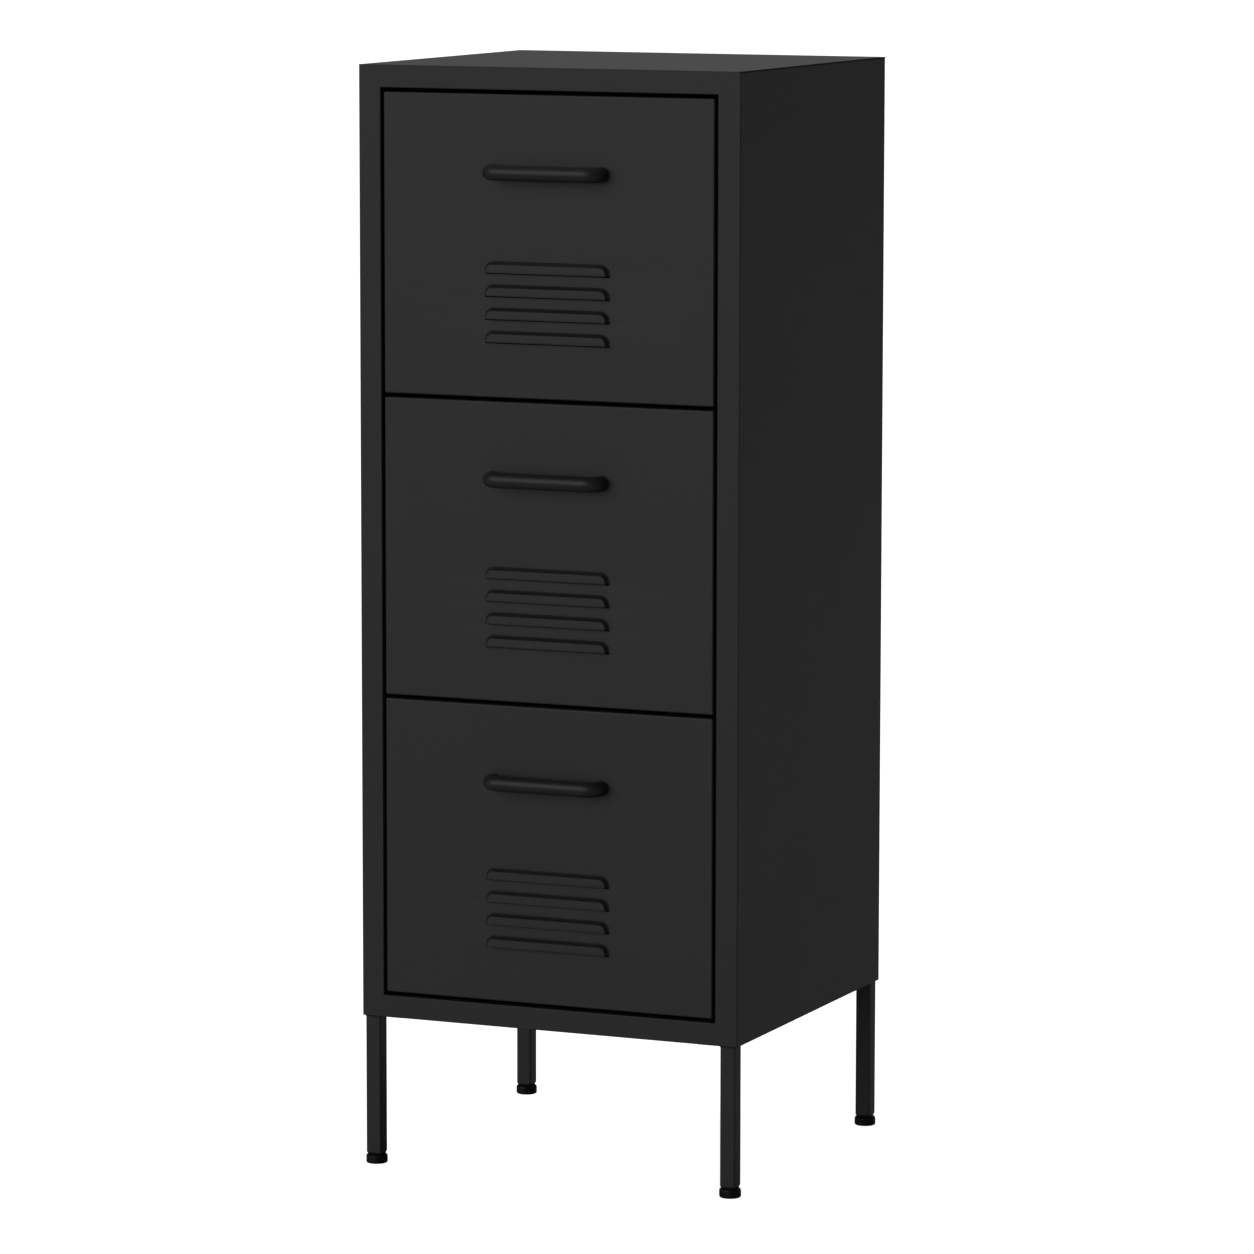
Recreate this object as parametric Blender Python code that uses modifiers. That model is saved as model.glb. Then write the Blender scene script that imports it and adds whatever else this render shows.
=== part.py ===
"""Tall three-drawer chest in folded sheet steel, standing on four square tube legs.

Units are metres, +Z is up, +X is to the right and the front faces -Y. The origin lies on the floor, under
the centre of the whole object's box, handles included. Each sub-part is its own object. The three drawers
hang from empties on their slide lines, and each roller and foot has its origin on its own axis.
"""

import math

import bmesh
import bpy
from mathutils import Matrix, Vector

# Driving dimensions of the casing and its legs.
CASING_WIDTH = 0.380
CASING_DEPTH = 0.360
CASING_HEIGHT = 0.890
UNDERSIDE = 0.142
SHEET = 0.001
GAP = 0.0003
FOLD = 0.0015
FOLD_STEPS = 3

# The flush front frame and the three drawer fronts in it.
STILE = 0.022
RAIL = 0.021
FRAME_RETURN = 0.014
DRAWERS = 3
FRONT_SIDE_GAP = 0.003
FRONT_GAP = 0.0035
PAN_DEPTH = 0.015
PAN_LIP = 0.011

# Bent rod handle.
ROD_RADIUS = 0.007
HANDLE_LENGTH = 0.123
HANDLE_PROJECTION = 0.022
HANDLE_BEND = 0.011
HANDLE_DROP = 0.071

# Pressed louvres, counted down from the top edge of a drawer front.
LOUVRES = 4
LOUVRE_TOP = 0.1535
LOUVRE_PITCH = 0.0212
LOUVRE_HEIGHT = 0.0097
LOUVRE_WIDTH = 0.123
LOUVRE_PROJECTION = 0.005
LOUVRE_CORNER = 0.008
LOUVRE_WALL = 0.0009
LOUVRE_SLOPE = 0.0022

# Drawer tray, running on roller rails.
TRAY_SHEET = 0.0008
TRAY_HALF_WIDTH = 0.155
TRAY_LIFT = 0.009
TRAY_HEIGHT = 0.235
TRAY_BACK = 0.166
TRAY_BACK_FLANGE = 0.013

# Runner rails and their nylon rollers.
RUNNER_FRONT = -0.150
RUNNER_BACK = 0.150
RUNNER_LIFT = 0.004
CASING_RAIL_HEIGHT = 0.024
CASING_RAIL_FLANGE = 0.012
CASING_RAIL_LIP = 0.008
DRAWER_RAIL_TOP = 0.0196
DRAWER_RAIL_LEG = 0.0115
DRAWER_RAIL_FLANGE = 0.0088
ROLLER_RADIUS = 0.0085
ROLLER_WIDTH = 0.008
ROLLER_CHAMFER = 0.0008
ROLLER_BORE = 0.0028
ROLLER_CENTRE = 0.162
AXLE_RADIUS = 0.0025
AXLE_HEAD_RADIUS = 0.0038
AXLE_HEAD = 0.0009
CASING_ROLLER_Y = -0.140
DRAWER_ROLLER_Y = 0.138

# Runner uprights, one behind each front stile and one near each back corner.
UPRIGHT_INNER = 0.1693
UPRIGHT_OUTER = 0.1874
UPRIGHT_DEPTH = 0.030
REAR_UPRIGHT_Y = 0.120

# Square tube legs with threaded end plugs and levelling feet.
TUBE = 0.015
TUBE_WALL = 0.0012
TUBE_CORNER = 0.0014
LEG_INSET = 0.0023
LEG_PLATE = 0.041
LEG_PLATE_THICKNESS = 0.0028
LEG_BOTTOM = 0.0105
PLUG_BODY = 0.012
PLUG_LENGTH = 0.016
PLUG_HEAD = 0.0138
PLUG_HEAD_THICKNESS = 0.0012
PLUG_BORE = 0.0044
FOOT_RADIUS = 0.0103
FOOT_HEIGHT = 0.0087
FOOT_SHOULDER = 0.0025
FOOT_TOE = 0.0016
STUD_RADIUS = 0.004
STUD_TOP = 0.034
STUD_CHAMFER = 0.001

# Folded flanges of the casing panels.
SIDE_REAR_FLANGE = 0.015
TOP_FLANGE = 0.012
BOTTOM_FLANGE = 0.012
BACK_FLANGE = 0.012
CORNER_RELIEF = 0.003

# Levels and planes that follow from the sizes above.
FRONT_Y = (HANDLE_PROJECTION - CASING_DEPTH) / 2
BACK_Y = FRONT_Y + CASING_DEPTH
HALF_WIDTH = CASING_WIDTH / 2
TOP_Z = UNDERSIDE + CASING_HEIGHT
PANEL_FRONT = FRONT_Y + SHEET + GAP
INNER_HALF = HALF_WIDTH - SHEET - GAP
OPENING_HALF = HALF_WIDTH - STILE
OPENING_LOW = UNDERSIDE + RAIL
OPENING_HIGH = TOP_Z - RAIL
FRONT_WIDTH = 2 * (OPENING_HALF - FRONT_SIDE_GAP)
FRONT_HEIGHT = (OPENING_HIGH - OPENING_LOW - (DRAWERS + 1) * FRONT_GAP) / DRAWERS
RUNNER_MIDDLE = (RUNNER_FRONT + RUNNER_BACK) / 2
RUNNER_LENGTH = RUNNER_BACK - RUNNER_FRONT
LEG_PLATE_LOW = UNDERSIDE - GAP
BOTTOM_PANEL_LOW = LEG_PLATE_LOW + LEG_PLATE_THICKNESS + GAP

SIDES = {"left": -1, "right": 1}
ARC_STEPS = 5
SMALL_ARC_STEPS = 3
ROUND_STEPS = 18
ROD_RESOLUTION = 6


def clear_scene():
    for obj in list(bpy.data.objects):
        bpy.data.objects.remove(obj, do_unlink=True)


def collection(name):
    made = bpy.data.collections.new(name)
    bpy.context.scene.collection.children.link(made)
    return made


def material(name, colour, roughness, metallic):
    made = bpy.data.materials.new(name)
    made.use_nodes = True
    made.diffuse_color = (*colour, 1)
    shader = made.node_tree.nodes["Principled BSDF"]
    shader.inputs["Base Color"].default_value = (*colour, 1)
    shader.inputs["Roughness"].default_value = roughness
    shader.inputs["Metallic"].default_value = metallic
    return made


class Shop:
    """The collections and finishes that every sub-part is made with."""

    def __init__(self):
        self.parts = collection("tall_drawer_chest")
        self.cutters = collection("cutters")
        self.cutters.hide_render = True
        self.powder_coat = material("black_powder_coat", (0.026, 0.026, 0.026), 0.55, 0.0)
        self.zinc = material("zinc_plated_steel", (0.55, 0.56, 0.57), 0.35, 1.0)
        self.nylon = material("white_nylon", (0.75, 0.74, 0.70), 0.45, 0.0)
        self.plastic = material("black_plastic", (0.012, 0.012, 0.012), 0.50, 0.0)


def add_part(shop, name, data, finish, location, parent=None):
    obj = bpy.data.objects.new(name, data)
    data.materials.append(finish)
    obj.location = location
    obj.parent = parent
    shop.parts.objects.link(obj)
    return obj


def copy_part(shop, name, source, location, parent=None):
    """Another object on the same mesh and modifiers."""
    obj = source.copy()
    obj.name = name
    obj.location = location
    obj.parent = parent
    shop.parts.objects.link(obj)
    return obj


def add_cutter(shop, name, mesh, location, parent=None):
    obj = bpy.data.objects.new(name, mesh)
    obj.location = location
    obj.parent = parent
    obj.hide_render = True
    obj.display_type = "WIRE"
    shop.cutters.objects.link(obj)
    return obj


def finish_mesh(name, bm):
    mesh = bpy.data.meshes.new(name)
    bm.to_mesh(mesh)
    bm.free()
    return mesh


def block_mesh(name, size):
    """A box centred on its own origin."""
    bm = bmesh.new()
    bmesh.ops.create_cube(bm, size=1, matrix=Matrix.Diagonal((*size, 1)))
    return finish_mesh(name, bm)


def span(low, high):
    """Size and centre of a box given by two opposite corners."""
    low, high = Vector(low), Vector(high)
    return high - low, (low + high) / 2


def rod_mesh(name, radius, length):
    """A cylinder along X, centred on its own origin."""
    bm = bmesh.new()
    turn = Matrix.Rotation(math.pi / 2, 4, "Y")
    bmesh.ops.create_cone(
        bm, cap_ends=True, segments=ROUND_STEPS, radius1=radius, radius2=radius, depth=length, matrix=turn
    )
    return finish_mesh(name, bm)


def add_bevel(obj, width=FOLD):
    bevel = obj.modifiers.new("fold", "BEVEL")
    bevel.width = width
    bevel.segments = FOLD_STEPS
    bevel.limit_method = "ANGLE"


def add_solidify(obj, thickness):
    """Gives an open skin its thickness on the side away from its normals."""
    solid = obj.modifiers.new("sheet", "SOLIDIFY")
    solid.thickness = thickness
    solid.offset = -1
    solid.use_even_offset = True


def add_boolean(obj, operation, cutter):
    boolean = obj.modifiers.new(cutter.name, "BOOLEAN")
    boolean.operation = operation
    boolean.solver = "EXACT"
    boolean.object = cutter


def add_screw(obj):
    screw = obj.modifiers.new("turn", "SCREW")
    screw.axis = "Z"
    screw.angle = 2 * math.pi
    screw.steps = ROUND_STEPS
    screw.render_steps = ROUND_STEPS
    screw.use_merge_vertices = True
    screw.merge_threshold = 0.00001
    screw.use_smooth_shade = True


def folded_mesh(name, profile, run, inward):
    """An open skin: the profile's points, drawn out from -run/2 to +run/2.

    Its normals point away from inward, the side of the first face on which the sheet's thickness lies.
    """
    run = Vector(run)
    bm = bmesh.new()
    line = [bm.verts.new(Vector(point) - run / 2) for point in profile]
    edges = [bm.edges.new(pair) for pair in zip(line, line[1:])]
    drawn = bmesh.ops.extrude_edge_only(bm, edges=edges)["geom"]
    moved = [item for item in drawn if isinstance(item, bmesh.types.BMVert)]
    bmesh.ops.translate(bm, verts=moved, vec=run)
    bm.normal_update()
    first = edges[0].link_faces[0]
    if first.normal.dot(Vector(inward)) > 0:
        bmesh.ops.reverse_faces(bm, faces=list(bm.faces))
    return finish_mesh(name, bm)


def folded_sheet(shop, name, profile, run, inward, location, finish, parent=None, sheet=SHEET):
    obj = add_part(shop, name, folded_mesh(name, profile, run, inward), finish, location, parent)
    add_bevel(obj)
    add_solidify(obj, sheet)
    return obj


def arc(centre_x, centre_z, radius, start, end, steps=ARC_STEPS):
    """Points along an arc in the XZ plane, angles in degrees from +X towards +Z."""
    angles = [math.radians(start + (end - start) * step / steps) for step in range(steps + 1)]
    return [(centre_x + radius * math.cos(angle), centre_z + radius * math.sin(angle)) for angle in angles]


def turned_mesh(name, profile, closed):
    """The edges of a profile in the XZ plane, for a Screw modifier."""
    points = [(x, 0, z) for x, z in profile]
    edges = [(index, index + 1) for index in range(len(points) - 1)]
    if closed:
        edges.append((len(points) - 1, 0))
    mesh = bpy.data.meshes.new(name)
    mesh.from_pydata(points, edges, [])
    return mesh


def make_front_frame(shop):
    """One welded ring: a flat face with a return folded back around the opening."""
    size, centre = span((-HALF_WIDTH, FRONT_Y, UNDERSIDE), (HALF_WIDTH, FRONT_Y + SHEET, TOP_Z))
    frame = add_part(shop, "front_frame", block_mesh("front_frame", size), shop.powder_coat, centre)
    opening = Vector((2 * OPENING_HALF, FRAME_RETURN + 2 * SHEET, OPENING_HIGH - OPENING_LOW))
    sleeve = Vector((opening.x + 2 * SHEET, FRAME_RETURN, opening.z + 2 * SHEET))
    middle = Vector((0, FRONT_Y + SHEET + FRAME_RETURN / 2 - GAP, centre.z))
    returns = add_cutter(shop, "frame_return", block_mesh("frame_return", sleeve), middle)
    hole = add_cutter(shop, "frame_opening", block_mesh("frame_opening", opening), middle)
    add_boolean(frame, "UNION", returns)
    add_boolean(frame, "DIFFERENCE", hole)


def make_side_panel(shop, side, sign):
    """A flat side with a flange folded in along its back edge."""
    outer = sign * HALF_WIDTH
    profile = [(outer, PANEL_FRONT, 0), (outer, BACK_Y, 0), (outer - sign * SIDE_REAR_FLANGE, BACK_Y, 0)]
    low, high = UNDERSIDE, TOP_Z - SHEET - GAP
    location = (0, 0, (low + high) / 2)
    folded_sheet(
        shop, f"{side}_side_panel", profile, (0, 0, high - low), (-sign, 0, 0), location, shop.powder_coat
    )


def make_top_panel(shop):
    """A flat top with a flange folded down at the front and at the back, relieved at its corners."""
    low = TOP_Z - TOP_FLANGE
    profile = [(0, PANEL_FRONT, low), (0, PANEL_FRONT, TOP_Z), (0, BACK_Y, TOP_Z), (0, BACK_Y, low)]
    top = folded_sheet(
        shop, "top_panel", profile, (CASING_WIDTH, 0, 0), (0, 1, 0), (0, 0, 0), shop.powder_coat
    )
    reliefs = {
        "front": (INNER_HALF, PANEL_FRONT - SHEET, PANEL_FRONT + CORNER_RELIEF),
        "rear": (HALF_WIDTH - SIDE_REAR_FLANGE - GAP, BACK_Y - CORNER_RELIEF, BACK_Y + SHEET),
    }
    for place, (inner, y_low, y_high) in reliefs.items():
        for side, sign in SIDES.items():
            outer = HALF_WIDTH + SHEET
            size, centre = span((inner, y_low, low - SHEET), (outer, y_high, TOP_Z - SHEET - GAP))
            centre.x *= sign
            name = f"top_{place}_{side}_relief"
            add_boolean(top, "DIFFERENCE", add_cutter(shop, name, block_mesh(name, size), centre))


def make_bottom_panel(shop):
    """A shallow pan, open upwards."""
    low = (-INNER_HALF, PANEL_FRONT, BOTTOM_PANEL_LOW)
    high = (INNER_HALF, BACK_Y - 2 * SHEET - 2 * GAP, BOTTOM_PANEL_LOW + BOTTOM_FLANGE)
    size, centre = span(low, high)
    bm = bmesh.new()
    bmesh.ops.create_cube(bm, size=1, matrix=Matrix.Diagonal((*size, 1)))
    bm.normal_update()
    bmesh.ops.delete(bm, geom=[face for face in bm.faces if face.normal.z > 0.5], context="FACES_ONLY")
    mesh = finish_mesh("bottom_panel", bm)
    bottom = add_part(shop, "bottom_panel", mesh, shop.powder_coat, centre)
    add_bevel(bottom)
    add_solidify(bottom, SHEET)


def make_back_panel(shop):
    """A flat back between the side panels' flanges and the drawers, folded forward under the top."""
    rear = BACK_Y - SHEET - GAP
    high = TOP_Z - SHEET - GAP
    profile = [(0, rear, UNDERSIDE), (0, rear, high), (0, rear - BACK_FLANGE, high)]
    folded_sheet(
        shop, "back_panel", profile, (2 * INNER_HALF, 0, 0), (0, -1, 0), (0, 0, 0), shop.powder_coat
    )


def make_uprights(shop):
    """Channels that carry the runners, open towards the side panels."""
    low = BOTTOM_PANEL_LOW + SHEET + GAP
    high = TOP_Z - 2 * SHEET - 3 * GAP
    fronts = {"front": FRONT_Y + FRAME_RETURN + SHEET + GAP, "rear": REAR_UPRIGHT_Y}
    for side, sign in SIDES.items():
        outer, inner = sign * UPRIGHT_OUTER, sign * UPRIGHT_INNER
        depth = UPRIGHT_DEPTH
        profile = [(outer, 0, 0), (inner, 0, 0), (inner, depth, 0), (outer, depth, 0)]
        for place, y in fronts.items():
            name = f"{side}_{place}_upright"
            location = (0, y, (low + high) / 2)
            folded_sheet(shop, name, profile, (0, 0, high - low), (0, 1, 0), location, shop.powder_coat)


def leg_centres():
    """Name, X, Y and the signs of each leg's corner."""
    x = HALF_WIDTH - LEG_INSET - TUBE / 2
    rows = {
        "front": (PANEL_FRONT + TUBE / 2, -1),
        "rear": (BACK_Y - 2 * SHEET - 2 * GAP - TUBE / 2, 1),
    }
    for row, (y, row_sign) in rows.items():
        for side, sign in SIDES.items():
            yield f"{row}_{side}", sign * x, y, sign, row_sign


def make_leg(shop, name, x, y, sign, row_sign):
    """A square tube welded under a square plate."""
    top = LEG_PLATE_LOW + GAP
    size = Vector((TUBE, TUBE, top - LEG_BOTTOM))
    bm = bmesh.new()
    bmesh.ops.create_cube(bm, size=1, matrix=Matrix.Diagonal((*size, 1)))
    bm.normal_update()
    bmesh.ops.delete(bm, geom=[face for face in bm.faces if abs(face.normal.z) > 0.5], context="FACES_ONLY")
    location = Vector((x, y, (top + LEG_BOTTOM) / 2))
    leg = add_part(shop, f"{name}_leg", finish_mesh(f"{name}_leg", bm), shop.powder_coat, location)
    add_bevel(leg, TUBE_CORNER)
    add_solidify(leg, TUBE_WALL)
    plate = block_mesh(f"{name}_leg_plate", (LEG_PLATE, LEG_PLATE, LEG_PLATE_THICKNESS))
    outer_edge = sign * (HALF_WIDTH - SHEET - 2 * GAP)
    plate_x = outer_edge - sign * LEG_PLATE / 2
    plate_y = y + row_sign * (TUBE - LEG_PLATE) / 2
    plate_z = LEG_PLATE_LOW + LEG_PLATE_THICKNESS / 2
    add_boolean(leg, "UNION", add_cutter(shop, f"{name}_leg_plate", plate, (plate_x, plate_y, plate_z)))


def make_plug(shop, name, x, y):
    """A moulded plug in the tube's end, bored for the foot's stud."""
    body = block_mesh(f"{name}_plug", (PLUG_BODY, PLUG_BODY, PLUG_LENGTH))
    middle = LEG_BOTTOM + PLUG_LENGTH / 2 - GAP
    plug = add_part(shop, f"{name}_leg_plug", body, shop.plastic, (x, y, middle))
    head_mesh = block_mesh(f"{name}_plug_head", (PLUG_HEAD, PLUG_HEAD, PLUG_HEAD_THICKNESS))
    head_z = LEG_BOTTOM - GAP - PLUG_HEAD_THICKNESS / 2
    head = add_cutter(shop, f"{name}_plug_head", head_mesh, (x, y, head_z))
    bm = bmesh.new()
    bmesh.ops.create_cone(
        bm, cap_ends=True, segments=ROUND_STEPS, radius1=PLUG_BORE, radius2=PLUG_BORE, depth=3 * PLUG_LENGTH
    )
    bore = add_cutter(shop, f"{name}_plug_bore", finish_mesh(f"{name}_plug_bore", bm), (x, y, middle))
    add_boolean(plug, "UNION", head)
    add_boolean(plug, "DIFFERENCE", bore)


def foot_profile():
    """From the stud's tip down the outer side to the middle of the sole."""
    profile = [(0, STUD_TOP), (STUD_RADIUS - STUD_CHAMFER, STUD_TOP), (STUD_RADIUS, STUD_TOP - STUD_CHAMFER)]
    profile += [(STUD_RADIUS, FOOT_HEIGHT)]
    shoulder = (FOOT_RADIUS - FOOT_SHOULDER, FOOT_HEIGHT - FOOT_SHOULDER)
    profile += arc(*shoulder, FOOT_SHOULDER, 90, 0)
    profile += arc(FOOT_RADIUS - FOOT_TOE, FOOT_TOE, FOOT_TOE, 0, -90, SMALL_ARC_STEPS)
    return profile + [(0, 0)]


def make_feet_and_legs(shop):
    foot = None
    for name, x, y, sign, row_sign in leg_centres():
        make_leg(shop, name, x, y, sign, row_sign)
        make_plug(shop, name, x, y)
        if foot is None:
            mesh = turned_mesh("levelling_foot", foot_profile(), closed=False)
            foot = add_part(shop, f"{name}_foot", mesh, shop.plastic, (x, y, 0))
            add_screw(foot)
        else:
            copy_part(shop, f"{name}_foot", foot, (x, y, 0))


def louvre_outline(half_width, height, corner, base):
    """A straight bottom edge, upright ends and two rounded top corners, as (x, z) from the lip's middle."""
    outline = [(-half_width, base), (half_width, base)]
    outline += arc(half_width - corner, height - corner, corner, 0, 90)
    outline += arc(corner - half_width, height - corner, corner, 90, 180)
    return outline


def louvre_mesh(name, base_margin, face_margin, base, back_y, face_y):
    """Four blocks in a row down Z, each lofted from its outline at back_y to a smaller one at face_y.

    A margin pulls the outline in at its ends and top.
    """
    bm = bmesh.new()
    for index in range(LOUVRES):
        lip = FRONT_HEIGHT / 2 - LOUVRE_TOP - LOUVRE_HEIGHT - index * LOUVRE_PITCH
        rings = []
        for margin, y in ((base_margin, back_y), (face_margin, face_y)):
            corner = LOUVRE_CORNER - margin
            outline = louvre_outline(LOUVRE_WIDTH / 2 - margin, LOUVRE_HEIGHT - margin, corner, base)
            rings.append([bm.verts.new((x, y, lip + z)) for x, z in outline])
        back, face = rings
        count = len(back)
        bm.faces.new(back)
        bm.faces.new(reversed(face))
        for step in range(count):
            after = (step + 1) % count
            bm.faces.new((back[after], back[step], face[step], face[after]))
    bmesh.ops.recalc_face_normals(bm, faces=list(bm.faces))
    return finish_mesh(name, bm)


def drawer_front_mesh():
    """An open-backed pan with a lip folded in around its back edge, centred on its own origin."""
    bm = bmesh.new()
    size = (FRONT_WIDTH, PAN_DEPTH, FRONT_HEIGHT)
    bmesh.ops.create_cube(bm, size=1, matrix=Matrix.Diagonal((*size, 1)))
    bm.normal_update()
    rear = [face for face in bm.faces if face.normal.y > 0.5]
    bmesh.ops.inset_region(bm, faces=rear, thickness=PAN_LIP, use_even_offset=True)
    bmesh.ops.delete(bm, geom=rear, context="FACES_ONLY")
    return finish_mesh("drawer_front", bm)


def make_drawer_front(shop, name, drawer):
    centre = (0, PAN_DEPTH / 2, FRONT_HEIGHT / 2)
    front = add_part(shop, f"{name}_front", drawer_front_mesh(), shop.powder_coat, centre, drawer)
    add_bevel(front)
    add_solidify(front, SHEET)
    skin = -PAN_DEPTH / 2
    face = skin - LOUVRE_PROJECTION
    wall, slope = LOUVRE_WALL, LOUVRE_SLOPE
    hoods = louvre_mesh(f"{name}_louvre_hoods", 0, slope, 0, skin + SHEET / 2, face)
    voids = louvre_mesh(f"{name}_louvre_voids", wall, slope + wall, -GAP, skin + 2 * SHEET, face + wall)
    add_boolean(front, "UNION", add_cutter(shop, hoods.name, hoods, centre, drawer))
    add_boolean(front, "DIFFERENCE", add_cutter(shop, voids.name, voids, centre, drawer))


def handle_path():
    """Centre line of the bent rod, in the XY plane, from one end on the drawer front to the other."""
    x = HANDLE_LENGTH / 2 - ROD_RADIUS
    y = ROD_RADIUS - HANDLE_PROJECTION
    bend = HANDLE_BEND
    right = arc(x - bend, y + bend, bend, 0, -90)
    left = arc(bend - x, y + bend, bend, -90, -180)
    return [(x, -GAP), *right, *left, (-x, -GAP)]


def make_handle(shop, name, drawer):
    curve = bpy.data.curves.new(f"{name}_handle", "CURVE")
    curve.dimensions = "3D"
    curve.bevel_depth = ROD_RADIUS
    curve.bevel_resolution = ROD_RESOLUTION
    curve.use_fill_caps = True
    path = handle_path()
    spline = curve.splines.new("POLY")
    spline.points.add(len(path) - 1)
    for point, (x, y) in zip(spline.points, path):
        point.co = (x, y, 0, 1)
    height = FRONT_HEIGHT - HANDLE_DROP
    add_part(shop, f"{name}_handle", curve, shop.powder_coat, (0, 0, height), drawer)


def make_tray(shop, name, drawer):
    """Base and sides folded from one sheet, and a separate back welded in."""
    half, low, high = TRAY_HALF_WIDTH, TRAY_LIFT, TRAY_LIFT + TRAY_HEIGHT
    front = PAN_DEPTH + GAP
    back = TRAY_BACK - FRONT_Y
    profile = [(-half, 0, high), (-half, 0, low), (half, 0, low), (half, 0, high)]
    middle = (0, (front + back) / 2, 0)
    folded_sheet(
        shop, f"{name}_tray", profile, (0, back - front, 0), (1, 0, 0), middle, shop.powder_coat, drawer,
        TRAY_SHEET,
    )
    inner = half - TRAY_SHEET - GAP
    rear, flange = back - SHEET, back - SHEET - TRAY_BACK_FLANGE
    profile = [(-inner, flange, 0), (-inner, rear, 0), (inner, rear, 0), (inner, flange, 0)]
    base = low + TRAY_SHEET + GAP
    middle = (0, 0, (base + high) / 2)
    folded_sheet(
        shop, f"{name}_back", profile, (0, 0, high - base), (1, 0, 0), middle, shop.powder_coat, drawer,
        TRAY_SHEET,
    )


def add_axle(shop, rail, name, web, head, location, parent):
    """A riveted axle from the rail's web to a wider head; web and head are X positions."""
    reach = abs(head - web)
    length = reach + SHEET / 2
    direction = math.copysign(1, head - web)
    pin = rod_mesh(f"{name}_pin", AXLE_RADIUS, length)
    pin_x = web - direction * SHEET / 2 + direction * length / 2
    cap = rod_mesh(f"{name}_head", AXLE_HEAD_RADIUS, AXLE_HEAD)
    cap_x = head - direction * AXLE_HEAD / 2
    _, y, z = location
    add_boolean(rail, "UNION", add_cutter(shop, f"{name}_pin", pin, (pin_x, y, z), parent))
    add_boolean(rail, "UNION", add_cutter(shop, f"{name}_head", cap, (cap_x, y, z), parent))


def make_roller(shop, name, location, parent=None):
    half = ROLLER_WIDTH / 2
    tread = half - ROLLER_CHAMFER
    profile = [
        (ROLLER_BORE, half), (ROLLER_RADIUS - ROLLER_CHAMFER, half), (ROLLER_RADIUS, tread),
        (ROLLER_RADIUS, -tread), (ROLLER_RADIUS - ROLLER_CHAMFER, -half), (ROLLER_BORE, -half),
    ]
    roller = add_part(shop, name, turned_mesh(name, profile, closed=True), shop.nylon, location, parent)
    roller.rotation_euler = (0, math.pi / 2, 0)
    add_screw(roller)


def make_casing_runner(shop, name, side, sign, low):
    """A C rail on the uprights, with a roller at its front end."""
    web = sign * (UPRIGHT_INNER - GAP)
    profile = [
        (web - sign * CASING_RAIL_FLANGE, 0, 0), (web, 0, 0), (web, 0, CASING_RAIL_HEIGHT),
        (web - sign * CASING_RAIL_LIP, 0, CASING_RAIL_HEIGHT),
    ]
    rail_name = f"{name}_{side}_casing_rail"
    location = (0, RUNNER_MIDDLE, low)
    rail = folded_sheet(
        shop, rail_name, profile, (0, RUNNER_LENGTH, 0), (0, 0, 1), location, shop.zinc
    )
    roller_z = low + SHEET + GAP + ROLLER_RADIUS
    centre = (sign * ROLLER_CENTRE, CASING_ROLLER_Y, roller_z)
    head = sign * (ROLLER_CENTRE - ROLLER_WIDTH / 2 - GAP - AXLE_HEAD)
    add_axle(shop, rail, rail_name, web - sign * SHEET, head, centre, None)
    make_roller(shop, f"{name}_{side}_casing_roller", centre)


def make_drawer_runner(shop, name, side, sign, drawer):
    """A Z rail under and beside the tray, with a roller at its back end."""
    low = TRAY_LIFT - SHEET - GAP
    flange = TRAY_LIFT + RUNNER_LIFT + DRAWER_RAIL_TOP - SHEET
    web = sign * (TRAY_HALF_WIDTH + GAP + SHEET)
    profile = [
        (web - sign * DRAWER_RAIL_LEG, 0, low), (web, 0, low), (web, 0, flange),
        (web + sign * DRAWER_RAIL_FLANGE, 0, flange),
    ]
    rail_name = f"{name}_{side}_drawer_rail"
    location = (0, RUNNER_MIDDLE - FRONT_Y, 0)
    rail = folded_sheet(
        shop, rail_name, profile, (0, RUNNER_LENGTH, 0), (0, 0, 1), location, shop.zinc, drawer
    )
    roller_z = TRAY_LIFT + RUNNER_LIFT + SHEET + GAP + ROLLER_RADIUS
    centre = (sign * ROLLER_CENTRE, DRAWER_ROLLER_Y - FRONT_Y, roller_z)
    head = sign * (ROLLER_CENTRE + ROLLER_WIDTH / 2 + GAP + AXLE_HEAD)
    add_axle(shop, rail, rail_name, web, head, centre, drawer)
    make_roller(shop, f"{name}_{side}_drawer_roller", centre, drawer)


def make_drawer(shop, number):
    """Drawer 1 is the top one. Its empty lies on its slide line, at the bottom of its front face."""
    name = f"drawer_{number}"
    low = OPENING_LOW + FRONT_GAP + (DRAWERS - number) * (FRONT_HEIGHT + FRONT_GAP)
    drawer = bpy.data.objects.new(f"{name}_slide", None)
    drawer.location = (0, FRONT_Y, low)
    shop.parts.objects.link(drawer)
    make_drawer_front(shop, name, drawer)
    make_handle(shop, name, drawer)
    make_tray(shop, name, drawer)
    for side, sign in SIDES.items():
        make_casing_runner(shop, name, side, sign, low + TRAY_LIFT + RUNNER_LIFT)
        make_drawer_runner(shop, name, side, sign, drawer)


def main():
    clear_scene()
    shop = Shop()
    make_front_frame(shop)
    for side, sign in SIDES.items():
        make_side_panel(shop, side, sign)
    make_top_panel(shop)
    make_bottom_panel(shop)
    make_back_panel(shop)
    make_uprights(shop)
    make_feet_and_legs(shop)
    for number in range(1, DRAWERS + 1):
        make_drawer(shop, number)


main()
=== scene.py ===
"""Visual model of a tall three-drawer chest: folded sheet steel in black powder coat on four square legs.

Units are metres, +Z is up and the front faces -Y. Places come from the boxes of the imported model's nodes.
Each sub-assembly is a class that builds its own pieces, and every surface is a grid of points worked out as
a whole array.
"""

import logging
import math
from collections.abc import Callable
from dataclasses import dataclass, field
from enum import Enum

import bmesh
import bpy
import numpy as np
from mathutils import Matrix, Vector


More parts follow.
